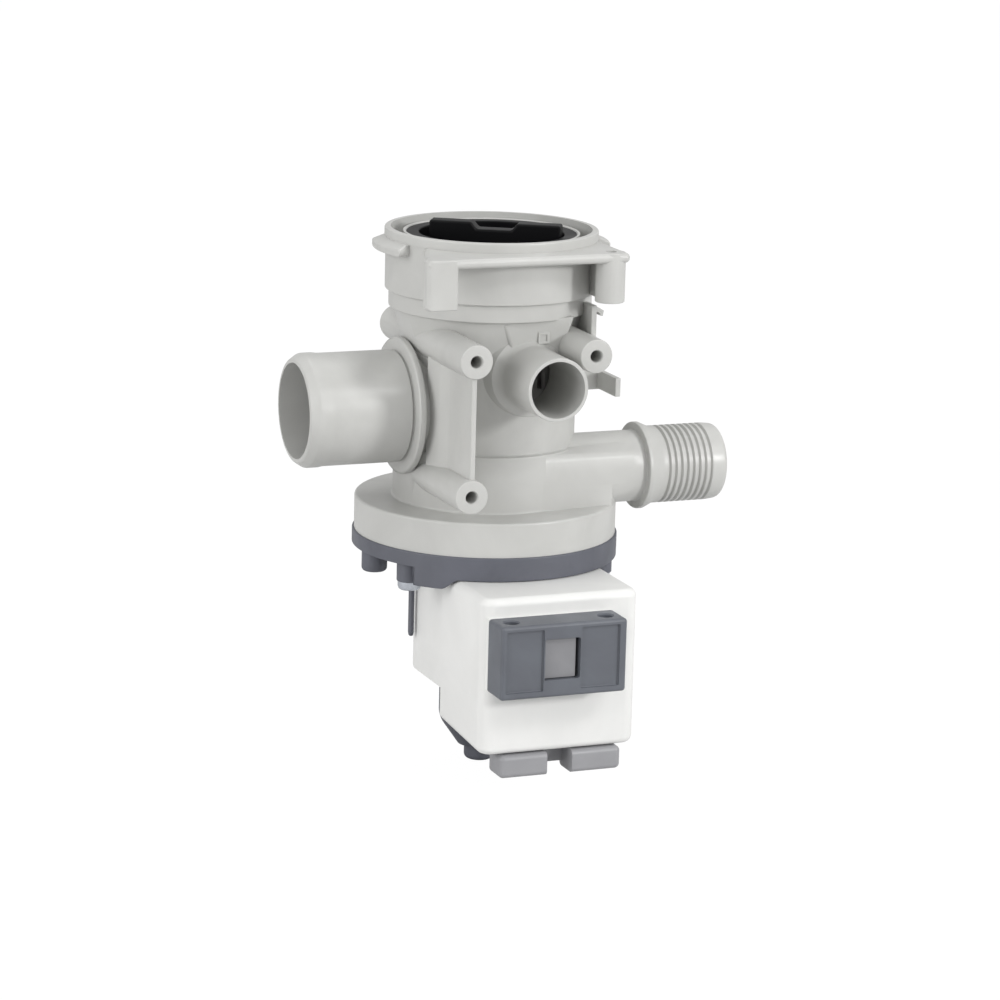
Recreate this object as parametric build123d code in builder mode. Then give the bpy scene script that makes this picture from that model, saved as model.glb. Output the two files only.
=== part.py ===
from build123d import *
import os
from math import cos, radians, sin, sqrt

os.makedirs("parts", exist_ok=True)

# Washer drain pump. Millimetres, +Z up, with the origin at the centre of the filter mouth's top edge.
# The screw bosses and the vent point to -Y, the inlet to -X and the outlet to +X.

# Clearances
overrun = 1.0
seat_gap = 0.15
turning_gap = 0.3
shaft_gap = 0.04

# Housing: turned body, from the mouth down
rim_radius = 38.0
rim_wall = 2.2
rim_height = 3.3
collar_step = 0.4
collar_height = 22.0
band_step = 1.8
band_height = 6.3
shoulder_step = 1.7
shoulder_height = 11.7
shoulder_round = 6.0
neck_radius = 31.4
neck_wall = 2.5
neck_height = 36.5
drum_radius = 33.5
drum_wall = 3.0
drum_height = 20.5
disc_radius = 47.1
disc_wall = 2.7
disc_plate = 3.0
disc_height = 12.3
disc_edge_round = 2.5
edge_round = 0.6
mouth_gap_depth = 17.0
sleeve_drop = 1.5
partition_thickness = 2.5
partition_rise = 14.5
eye_radius = 13.0
plug_bore_radius = 36.8
plug_bore_wall = 3.0
disc_rib_count = 9
disc_rib_width = 1.6

# Housing: tabs, shelf and posts round the mouth
tab_reach = 42.3
tab_drop = 4.3
tab_thickness = 2.8
tab_half_angle = 20.0
shelf_front = 46.0
shelf_left = 41.5
shelf_right = 34.0
shelf_left_root_angle = 210.0
shelf_thickness = 3.5
post_height = 17.7
left_post_width = 11.5
left_post_depth = 5.5
post_round = 1.5
right_post_x = 28.5
right_post_y = 41.0
right_post_radius = 5.2
post_hole_radius = 2.0
post_hole_depth = 12.0
post_web = 2.0

# Housing: inlet, vent and outlet
inlet_rise = 13.8
inlet_radius = 20.3
inlet_wall = 3.3
inlet_reach = 73.0
inlet_chamfer_length = 3.5
inlet_chamfer_depth = 2.0
inlet_ring_radius = 24.4
inlet_ring_thickness = 2.5
inlet_ring_reach = 34.7
vent_x = 3.0
vent_drop = 7.9
vent_radius = 11.2
vent_wall = 1.25
vent_reach = 58.0
vent_root_radius = 12.0
vent_root_reach = 32.0
vent_root_length = 6.0
outlet_y = 15.0
outlet_rise = 10.8
outlet_radius = 12.9
outlet_wall = 2.5
outlet_blend_start = 10.0
outlet_blend_end = 46.0
outlet_blend_width = 29.0
outlet_blend_inset = 0.4
outlet_blend_round = 5.0
outlet_ring_radius = 16.0
outlet_ring_reach = 51.2
outlet_ring_land = 1.6
outlet_cone_reach = 57.0
barb_radius = 14.0
barb_pitch = 2.34
barb_count = 8
barb_groove_width = 1.3
barb_groove_depth = 0.7
outlet_reach = 83.0
outlet_tip_length = 6.0
outlet_tip_step = 0.5
outlet_tip_round = 2.5
outlet_throat_radius = 8.5
outlet_channel_start = 15.0
outlet_channel_end = 34.0
outlet_channel_height = 13.0

# Housing: screw bosses, rib, pad and clip
boss_reach = 52.0
boss_face_radius = 6.0
boss_root_radius = 6.9
boss_hole_radius = 2.1
boss_hole_depths = (18.5, 17.0, 15.5)
left_boss_x = 25.0
left_boss_tail = 30.0
right_boss_x = 19.5
upper_boss_rise = 2.0
lower_boss_x = 25.7
lower_boss_rise = 11.6
boss_rib_thickness = 1.8
boss_rib_front = 50.5
boss_rib_back = 20.0
pad_reach = 34.6
pad_left = 6.8
pad_right = 16.2
pad_drop = 1.2
pad_height = 10.0
pad_slant = 2.4
lug_size = 4.0
lug_height = 1.2
lug_x = 7.2
lug_drop = 5.9
boss_web_reach = 38.0
boss_web_left = 10.0
boss_web_thickness = 2.0
boss_web_height = 8.5
boss_web_rise = 4.5
clip_front = 34.0
clip_thickness = 2.0
upper_clip_x = 24.9
upper_clip_back = 18.0
upper_clip_rise = 4.8
upper_clip_height = 12.0
hook_width = 4.4
hook_depth = 5.0
hook_height = 4.0
hook_lip = 1.3
lower_clip_x = 34.9
lower_clip_back = 18.0
lower_clip_drop = 9.7
lower_clip_height = 7.3

# Motor bracket
flange_radius = 47.8
flange_thickness = 5.2
flange_edge_round = 0.8
plug_round = 0.8
plug_plate = 3.0
plug_wall = 2.8
plug_rib_count = 6
plug_rib_width = 1.6
can_radius = 15.0
can_wall = 2.2
can_height = 65.5
can_root_radius = 18.0
can_cone_height = 10.0
can_cone_radius = 8.0
nose_radius = 5.5
nose_height = 6.0
nose_round = 2.0
skirt_radius = 47.0
skirt_wall = 2.4
skirt_height = 3.3
skirt_start = 217.0
skirt_end = 352.0
deep_skirt_height = 6.8
deep_skirt_end = 230.0
tower_ring_radius = 42.0
tower_radius = 4.6
tower_height = 7.0
blind_tower_height = 8.0
tower_round = 1.5
screw_count = 3
screw_start_angle = 90.0
blind_angles = (0.0, 180.0)
screw_hole_radius = 2.2
screw_pilot_radius = 2.0
screw_boss_radius = 4.5
arm_thickness = 2.8
arm_width = 10.0
arm_shift = 1.0
arm_height = 35.5
arm_round = 3.0

# Screws
screw_radius = 1.9
screw_head_radius = 4.2
screw_head_height = 3.0
screw_length = 18.0
screw_head_round = 1.2

# Seals
chamber_seal_wire = 1.3
chamber_seal_drop = 5.8
filter_seal_wire = 1.2
filter_seal_drop = 17.5

# Filter knob and cage
knob_drop = 1.8
knob_height = 19.2
knob_wall = 2.8
knob_floor_drop = 12.0
knob_floor = 3.0
spigot_height = 4.0
spigot_wall = 2.5
grip_angle = -31.0
grip_width = 7.0
grip_rise = 2.0
grip_left = 22.0
grip_right = 25.0
grip_dip_left = 7.0
grip_dip_right = 9.5
grip_dip = 2.5
grip_slope = 2.0
grip_round = 1.2
cage_radius = 26.5
cage_wall = 1.8
cage_height = 55.0
cage_window_count = 10
cage_window_width = 7.0
cage_window_height = 14.0
cage_window_pitch = 18.0
cage_window_rows = 2
cage_window_drop = 8.0
cage_window_angle = 126.0
cage_floor = 1.2
cage_floor_hole_radius = 4.0
cage_floor_hole_ring = 15.0
cage_floor_hole_count = 8
cage_inlet_radius = 11.3

# Impeller, shaft and magnet
impeller_drop = 2.0
impeller_radius = 24.5
impeller_plate = 2.0
impeller_hub_radius = 6.0
impeller_lift = 2.3
vane_count = 6
vane_thickness = 2.0
vane_step = 0.5
shaft_radius = 2.0
shaft_cover = 1.5
shaft_tip_gap = 1.0
dog_drop = 7.5
dog_height = 5.5
dog_hub_radius = 3.6
dog_radius = 10.2
dog_half_angle = 25.0
washer_thickness = 0.5
washer_radius = 5.0
washer_gap = 0.2
magnet_radius = 11.8
magnet_bore_radius = 6.1
magnet_height = 34.6
hub_flange_radius = 10.8
hub_flange_thickness = 1.5
claw_inner_radius = 7.0
claw_radius = 10.5
claw_half_angle = 30.0
claw_height = 5.6
bumper_angle = 5.0
collar_ring_radius = 3.4
collar_ring_height = 2.2

# Bearings and shaft seal
bearing_plate_radius = 17.0
bearing_plate_thickness = 3.0
bearing_hub_height = 14.0
bearing_web = 1.2
bearing_web_hole_radius = 2.6
lip_seal_radius = 7.0
lip_seal_height = 3.0
cushion_radius = 7.2
bearing_radius = 4.5
bearing_height = 7.0
rear_bearing_radius = 4.0
rear_bearing_height = 7.0
rear_pocket_floor = 2.6

# Stator block
stator_drop = 3.5
stator_height = 56.0
stator_bottom_rise = 2.5
stator_back_height = 43.0
stator_left = 26.5
stator_right = 32.0
stator_front = 68.0
stator_front_depth = 40.0
stator_back_radius = 24.8
stator_round = 5.0
stator_bottom_round = 2.5
connector_pad = 1.5
connector_pad_margin = 1.0
core_drop = 17.5
core_height = 24.0
core_ring_width = 7.0
core_slot = 6.0
core_leg_x = 13.0
core_leg_width = 9.0
core_yoke_front = 66.0
core_yoke_depth = 9.0
core_leg_back = 8.0
bobbin_wall = 1.2
bobbin_flange = 1.5
bobbin_length = 28.0
coil_radial = 5.6
coil_rise = 8.0
coil_round = 2.0
bobbin_neck_half_width = 18.0
bobbin_neck_front = 64.0
foot_left = 19.5
foot_right = 26.1
foot_front = 69.0
foot_depth = 11.5
foot_height = 8.2
foot_round = 1.0
foot_notch_left = 1.8
foot_notch_right = 7.6
foot_web_thickness = 2.0
foot_web_rise = 2.0
cutout_length = 12.0
cutout_height = 8.0

# Connector
connector_shift = 1.95
connector_half_width = 23.3
connector_depth = 12.4
connector_drop = 6.2
connector_height = 27.0
connector_round = 1.2
socket_x = 17.5
socket_radius = 2.1
socket_depth = 10.0
pin_radius = 1.15
pin_drop = 2.0
pin_length = 12.0
panel_depth = 0.9
panel_top_margin = 1.8
panel_bottom_margin = 2.4
left_panel_start = 21.5
left_panel_end = 7.6
right_panel_start = 6.3
right_panel_end = 20.6
window_left = 7.2
window_right = 5.9
window_drop = 6.5
window_height = 14.6
holder_width = 11.1
holder_depth = 4.0
holder_inset = 1.6

# Levels and radii that follow from the sizes above
collar_radius = rim_radius - collar_step
band_radius = rim_radius - band_step
shoulder_radius = band_radius - shoulder_step
bore_radius = neck_radius - neck_wall
chamber_radius = drum_radius - drum_wall
mouth_radius = rim_radius - rim_wall
collar_bottom = -collar_height
band_bottom = collar_bottom - band_height
neck_top = band_bottom - shoulder_height
drum_top = neck_top - neck_height
disc_top = drum_top - drum_height
disc_bottom = disc_top - disc_height
seat_level = disc_top - disc_plate
partition_bottom = disc_top + partition_rise
partition_top = partition_bottom + partition_thickness
shelf_bottom = -rim_height - shelf_thickness
post_bottom = -rim_height - post_height

inlet_z = drum_top + inlet_rise
vent_z = neck_top - vent_drop
outlet_z = disc_top + outlet_rise
upper_boss_z = neck_top + upper_boss_rise
lower_boss_z = disc_top + lower_boss_rise

flange_bottom = disc_bottom - flange_thickness
plug_radius = plug_bore_radius - turning_gap
plug_top = seat_level - turning_gap
can_bottom = flange_bottom - can_height
cone_bottom = can_bottom - can_cone_height
nose_bottom = cone_bottom - nose_height
can_bore_radius = can_radius - can_wall
screw_head_top = flange_bottom - tower_height

plate_bottom = plug_top - bearing_plate_thickness
bearing_hub_bottom = plug_top - bearing_hub_height
seal_pocket_bottom = plug_top - lip_seal_height - seat_gap
bearing_pocket_top = seal_pocket_bottom - bearing_web
bearing_top = bearing_pocket_top - seat_gap
impeller_top = partition_bottom - impeller_drop
impeller_bottom = plug_top + impeller_lift
rear_bearing_bottom = nose_bottom + rear_pocket_floor + seat_gap
shaft_top = impeller_top - shaft_cover
shaft_bottom = rear_bearing_bottom + shaft_tip_gap
dog_top = bearing_hub_bottom - dog_drop
dog_bottom = dog_top - dog_height
hub_top = dog_bottom - washer_thickness - 2 * washer_gap
magnet_top = hub_top - hub_flange_thickness
magnet_bottom = magnet_top - magnet_height
collar_ring_top = magnet_bottom - washer_thickness - 2 * washer_gap

knob_radius = bore_radius - turning_gap
knob_bottom = -knob_drop - knob_height
cage_top = knob_bottom - seat_gap
cage_bottom = cage_top - cage_height

stator_top = flange_bottom - stator_drop
stator_bottom = stator_top - stator_height
stator_back = stator_front - stator_front_depth
stator_bore_radius = can_radius + turning_gap
core_top = flange_bottom - core_drop
core_bottom = core_top - core_height
core_middle = (core_top + core_bottom) / 2
core_ring_radius = stator_bore_radius + core_ring_width
bobbin_front = core_yoke_front - core_yoke_depth
leg_hole_half_width = core_leg_width / 2 + seat_gap
leg_hole_height = core_height + 2 * seat_gap
tube_half_width = leg_hole_half_width + bobbin_wall
tube_height = leg_hole_height + 2 * bobbin_wall
coil_half_width = tube_half_width + coil_radial
coil_height = tube_height + 2 * coil_rise
bobbin_half_width = core_leg_x + coil_half_width
bobbin_back = bobbin_front - bobbin_length
coil_front = bobbin_front - bobbin_flange - seat_gap
coil_back = bobbin_back + bobbin_flange + seat_gap
coil_space_top = core_middle + coil_height / 2 + turning_gap
coil_space_bottom = core_middle - coil_height / 2 - turning_gap
foot_top = stator_bottom - seat_gap
foot_bottom = foot_top - foot_height
connector_back = stator_front + connector_pad
connector_front = connector_back + connector_depth
connector_top = stator_top - connector_drop
connector_bottom = connector_top - connector_height
connector_left = -connector_shift - connector_half_width
connector_right = -connector_shift + connector_half_width


def upright_plane(angle, origin=(0, 0, 0)):
    """Vertical plane at origin: local x points outward at the angle about Z, local y points up."""
    outward = (cos(radians(angle)), sin(radians(angle)), 0)
    sideways = (sin(radians(angle)), -cos(radians(angle)), 0)
    return Plane(origin=origin, x_dir=outward, z_dir=sideways)


def outline(*corners):
    """Closed outline in the open sketch, through (x, y, corner radius) corners."""
    with BuildLine() as line:
        FilletPolyline(
            *[(x, y) for x, y, corner_radius in corners],
            radius=[corner_radius for x, y, corner_radius in corners],
            close=True,
        )
    make_face(line.edges())


def turned(plane, *corners, mode=Mode.ADD):
    """Turned form about the plane's local x axis, added to the open part."""
    with BuildSketch(plane) as profile:
        outline(*corners)
    revolve(profile.sketch, axis=Axis(plane.origin, plane.x_dir), mode=mode)


def ring_sector(start, end, *corners, mode=Mode.ADD):
    """Profile swept about Z from the start angle to the end angle, added to the open part."""
    with BuildSketch(upright_plane(start)) as profile:
        outline(*corners)
    revolve(profile.sketch, axis=Axis.Z, revolution_arc=end - start, mode=mode)


def upright_box(left, right, front, back, bottom, top, corner_radius=0, mode=Mode.ADD):
    """Upright block between side, front, back and height limits, with rounded vertical corners."""
    with BuildSketch(Plane.XY.offset(bottom)) as plan:
        outline(
            (left, front, corner_radius),
            (right, front, corner_radius),
            (right, back, corner_radius),
            (left, back, corner_radius),
        )
    extrude(plan.sketch, amount=top - bottom, mode=mode)


# Housing: one moulding that holds the filter mouth, the pump chamber and the three ports
inlet_plane = upright_plane(180, origin=(0, 0, inlet_z))
vent_plane = upright_plane(-90, origin=(vent_x, 0, vent_z))
outlet_plane = upright_plane(0, origin=(0, -outlet_y, outlet_z))

with BuildPart() as pump_housing:
    with BuildSketch(Plane.XZ):
        outline(
            (0, 0, 0),
            (rim_radius, 0, 0),
            (rim_radius, -rim_height, 0),
            (collar_radius, -rim_height, 0),
            (collar_radius, collar_bottom, edge_round),
            (band_radius, collar_bottom, 0),
            (band_radius, band_bottom, edge_round),
            (shoulder_radius, band_bottom, 0),
            (neck_radius, neck_top, shoulder_round),
            (neck_radius, drum_top, 0),
            (drum_radius, drum_top, edge_round),
            (drum_radius, disc_top, 0),
            (disc_radius, disc_top, disc_edge_round),
            (disc_radius, disc_bottom, 0),
            (0, disc_bottom, 0),
        )
    revolve(axis=Axis.Z)

    # Tabs at both sides of the mouth
    for tab_angle in (0, 180):
        ring_sector(
            tab_angle - tab_half_angle,
            tab_angle + tab_half_angle,
            (mouth_radius, -tab_drop, 0),
            (tab_reach, -tab_drop, edge_round),
            (tab_reach, -tab_drop - tab_thickness, edge_round),
            (mouth_radius, -tab_drop - tab_thickness, 0),
        )

    # Shelf in front of the mouth, with a square post and a round post under its corners
    shelf_right_root = sqrt(rim_radius**2 - shelf_right**2)
    shelf_left_root_x = rim_radius * cos(radians(shelf_left_root_angle))
    shelf_left_root_y = rim_radius * sin(radians(shelf_left_root_angle))
    with BuildSketch(Plane.XY.offset(shelf_bottom)):
        outline(
            (0, 0, 0),
            (shelf_left_root_x, shelf_left_root_y, 0),
            (-shelf_left, -shelf_front, post_round),
            (shelf_right, -shelf_front, post_round),
            (shelf_right, -shelf_right_root, 0),
        )
    extrude(amount=shelf_thickness)
    left_post_back = shelf_front - left_post_depth
    upright_box(
        -shelf_left,
        left_post_width - shelf_left,
        -shelf_front,
        -left_post_back,
        post_bottom,
        -rim_height,
        post_round,
    )
    with BuildSketch(Plane.XY.offset(post_bottom)):
        with Locations((right_post_x, -right_post_y)):
            Circle(right_post_radius)
    extrude(amount=post_height)
    upright_box(
        right_post_x - post_web / 2,
        right_post_x + post_web / 2,
        -right_post_y,
        -sqrt(mouth_radius**2 - right_post_x**2),
        post_bottom,
        shelf_bottom,
    )

    # Inlet spigot with its stop ring
    turned(
        inlet_plane,
        (0, 0, 0),
        (inlet_reach, 0, 0),
        (inlet_reach, inlet_radius - inlet_chamfer_depth, edge_round),
        (inlet_reach - inlet_chamfer_length, inlet_radius, edge_round),
        (inlet_ring_reach, inlet_radius, 0),
        (inlet_ring_reach, inlet_ring_radius, edge_round),
        (inlet_ring_reach - inlet_ring_thickness, inlet_ring_radius, edge_round),
        (inlet_ring_reach - inlet_ring_thickness, inlet_radius, 0),
        (0, inlet_radius, 0),
    )

    # Vent spigot with its coned root
    turned(
        vent_plane,
        (0, 0, 0),
        (vent_reach, 0, 0),
        (vent_reach, vent_radius, edge_round),
        (vent_root_reach + vent_root_length, vent_radius, 0),
        (vent_root_reach, vent_root_radius, 0),
        (0, vent_root_radius, 0),
    )

    # Outlet: the drum flows into a round tube, which ends in a stop ring and a grooved barb
    outlet_blend_front = sqrt(drum_radius**2 - outlet_blend_start**2)
    outlet_blend_y = outlet_blend_width / 2 - outlet_blend_front
    outlet_blend_z = (drum_top + disc_top) / 2 - outlet_blend_inset
    with BuildSketch(Plane.YZ.offset(outlet_blend_start)):
        with Locations((outlet_blend_y, outlet_blend_z)):
            RectangleRounded(outlet_blend_width, drum_height, outlet_blend_round)
    with BuildSketch(Plane.YZ.offset(outlet_blend_end)):
        with Locations((-outlet_y, outlet_z)):
            Circle(outlet_radius)
    loft()
    groove_corners = []
    for groove in range(barb_count):
        groove_reach = outlet_cone_reach + barb_groove_width / 2 + groove * barb_pitch
        groove_corners.append((groove_reach, barb_radius, 0))
        groove_corners.append((groove_reach + barb_groove_width / 2, barb_radius - barb_groove_depth, 0))
        groove_corners.append((groove_reach + barb_groove_width, barb_radius, 0))
    turned(
        outlet_plane,
        (outlet_channel_end, 0, 0),
        (outlet_channel_end, outlet_radius, 0),
        (outlet_ring_reach, outlet_radius, 0),
        (outlet_ring_reach, outlet_ring_radius, edge_round),
        (outlet_ring_reach + outlet_ring_land, outlet_ring_radius, 0),
        (outlet_cone_reach, barb_radius, 0),
        *groove_corners,
        (outlet_reach - outlet_tip_length, barb_radius, 0),
        (outlet_reach, barb_radius - outlet_tip_step, outlet_tip_round),
        (outlet_reach, 0, 0),
    )

    # Screw bosses, which taper towards the face, and the rib between the two on the left
    for boss_x, boss_z in ((right_boss_x, upper_boss_z), (-lower_boss_x, lower_boss_z)):
        turned(
            upright_plane(-90, origin=(boss_x, 0, boss_z)),
            (0, 0, 0),
            (boss_reach, 0, 0),
            (boss_reach, boss_face_radius, edge_round),
            (0, boss_root_radius, 0),
        )
    turned(
        upright_plane(-90, origin=(-left_boss_x, 0, upper_boss_z)),
        (-left_boss_tail, 0, 0),
        (boss_reach, 0, 0),
        (boss_reach, boss_face_radius, edge_round),
        (0, boss_root_radius, 0),
        (-left_boss_tail, boss_root_radius, boss_root_radius / 2),
    )
    upright_box(
        -left_boss_x - boss_rib_thickness / 2,
        -left_boss_x + boss_rib_thickness / 2,
        -boss_rib_front,
        -boss_rib_back,
        lower_boss_z,
        upper_boss_z,
    )

    # Pad on the front of the neck, with a small square lug
    pad_top = band_bottom - pad_drop
    with BuildSketch(Plane.XZ):
        outline(
            (-pad_left, pad_top, 0),
            (pad_right, pad_top + pad_slant, 0),
            (pad_right - pad_slant, pad_top + pad_slant - pad_height, 0),
            (-pad_left + pad_slant, pad_top - pad_height / 2, 0),
        )
    extrude(amount=pad_reach)
    with BuildSketch(Plane.XZ.offset(pad_reach)):
        with Locations((lug_x, band_bottom - lug_drop)):
            RectangleRounded(lug_size, lug_size, edge_round)
    extrude(amount=lug_height)

    # Web between the pad and the right boss
    boss_web_top = upper_boss_z + boss_web_rise
    upright_box(
        boss_web_left,
        right_boss_x,
        -boss_web_reach,
        -boss_web_reach + boss_web_thickness,
        boss_web_top - boss_web_height,
        boss_web_top,
    )

    # Wire clip on the right: an upper fin with a hook, and a lower fin on a web from the neck
    upper_clip_top = band_bottom + upper_clip_rise
    upright_box(
        upper_clip_x,
        upper_clip_x + clip_thickness,
        -clip_front,
        -upper_clip_back,
        upper_clip_top - upper_clip_height,
        upper_clip_top,
    )
    hook_right = upper_clip_x + hook_width
    hook_back = hook_depth - clip_front
    upright_box(upper_clip_x, hook_right, -clip_front, hook_back, upper_clip_top - hook_lip, upper_clip_top)
    upright_box(
        hook_right - hook_lip,
        hook_right,
        -clip_front,
        hook_back,
        upper_clip_top - hook_height,
        upper_clip_top,
    )
    lower_clip_top = neck_top - lower_clip_drop
    lower_clip_right = lower_clip_x + clip_thickness
    lower_clip_bottom = lower_clip_top - lower_clip_height
    upright_box(
        lower_clip_x,
        lower_clip_right,
        -clip_front,
        -lower_clip_back,
        lower_clip_bottom,
        lower_clip_top,
    )
    upright_box(
        sqrt(bore_radius**2 - lower_clip_back**2),
        lower_clip_right,
        -lower_clip_back - clip_thickness,
        -lower_clip_back,
        lower_clip_bottom,
        lower_clip_top,
    )

    # Filter bore inside the mouth's double wall
    with BuildSketch(Plane.XZ):
        outline(
            (0, overrun, 0),
            (mouth_radius, overrun, 0),
            (mouth_radius, -mouth_gap_depth, 0),
            (neck_radius, -mouth_gap_depth, 0),
            (neck_radius, -sleeve_drop, edge_round),
            (bore_radius, -sleeve_drop, edge_round),
            (bore_radius, partition_top, 0),
            (0, partition_top, 0),
        )
    revolve(axis=Axis.Z, mode=Mode.SUBTRACT)

    # Pump chamber, and below it the bore for the motor bracket's plug
    with BuildSketch(Plane.XZ):
        outline(
            (0, partition_bottom, 0),
            (chamber_radius, partition_bottom, 0),
            (chamber_radius, seat_level, 0),
            (plug_bore_radius, seat_level, 0),
            (plug_bore_radius, disc_bottom - overrun, 0),
            (0, disc_bottom - overrun, 0),
        )
    revolve(axis=Axis.Z, mode=Mode.SUBTRACT)
    with BuildSketch(Plane.XY.offset(partition_bottom - overrun)):
        Circle(eye_radius)
    extrude(amount=partition_thickness + 2 * overrun, mode=Mode.SUBTRACT)

    # Ribbed channel round the underside of the disc, with the bosses for the motor's screws
    with BuildSketch(Plane.XY.offset(disc_bottom)):
        Circle(disc_radius - disc_wall)
        Circle(plug_bore_radius + plug_bore_wall, mode=Mode.SUBTRACT)
        with PolarLocations(tower_ring_radius, disc_rib_count, start_angle=180 / disc_rib_count):
            Rectangle(disc_radius - plug_bore_radius, disc_rib_width, mode=Mode.SUBTRACT)
        with PolarLocations(tower_ring_radius, screw_count, start_angle=screw_start_angle):
            Circle(screw_boss_radius, mode=Mode.SUBTRACT)
    extrude(amount=disc_height - disc_plate, mode=Mode.SUBTRACT)
    with BuildSketch(Plane.XY.offset(disc_bottom)):
        with PolarLocations(tower_ring_radius, screw_count, start_angle=screw_start_angle):
            Circle(screw_pilot_radius)
    extrude(amount=disc_height - disc_plate, mode=Mode.SUBTRACT)

    # Bores of the ports
    turned(
        inlet_plane,
        (0, 0, 0),
        (inlet_reach + overrun, 0, 0),
        (inlet_reach + overrun, inlet_radius - inlet_wall, 0),
        (0, inlet_radius - inlet_wall, 0),
        mode=Mode.SUBTRACT,
    )
    turned(
        vent_plane,
        (0, 0, 0),
        (vent_reach + overrun, 0, 0),
        (vent_reach + overrun, vent_radius - vent_wall, 0),
        (0, vent_radius - vent_wall, 0),
        mode=Mode.SUBTRACT,
    )
    upright_box(
        outlet_channel_start,
        outlet_channel_end,
        -outlet_y - outlet_throat_radius,
        -outlet_y + outlet_throat_radius,
        partition_bottom - outlet_channel_height,
        partition_bottom,
        mode=Mode.SUBTRACT,
    )
    turned(
        outlet_plane,
        (outlet_channel_end - overrun, 0, 0),
        (outlet_channel_end - overrun, outlet_throat_radius, 0),
        (outlet_blend_end, outlet_radius - outlet_wall, 0),
        (outlet_reach + overrun, outlet_radius - outlet_wall, 0),
        (outlet_reach + overrun, 0, 0),
        mode=Mode.SUBTRACT,
    )

    # Screw holes in the three boss faces and in the round post
    boss_places = (
        (-left_boss_x, upper_boss_z),
        (right_boss_x, upper_boss_z),
        (-lower_boss_x, lower_boss_z),
    )
    for (boss_x, boss_z), boss_hole_depth in zip(boss_places, boss_hole_depths):
        with BuildSketch(Plane.XZ.offset(boss_reach)):
            with Locations((boss_x, boss_z)):
                Circle(boss_hole_radius)
        extrude(amount=-boss_hole_depth, mode=Mode.SUBTRACT)
    with BuildSketch(Plane.XY.offset(-rim_height)):
        with Locations((right_post_x, -right_post_y)):
            Circle(post_hole_radius)
    extrude(amount=-post_hole_depth, mode=Mode.SUBTRACT)

pump_housing.part.label = "pump_housing"
export_step(pump_housing.part, "parts/pump_housing.step")

# Motor bracket: the plug that closes the chamber, the flange, and the closed can that the rotor turns in
chamber_seal_z = plug_top - chamber_seal_drop
chamber_seal_ring = plug_bore_radius - seat_gap - chamber_seal_wire
chamber_groove_radius = chamber_seal_ring - chamber_seal_wire - seat_gap
chamber_groove_half = chamber_seal_wire + seat_gap
rear_pocket_radius = rear_bearing_radius + seat_gap

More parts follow.
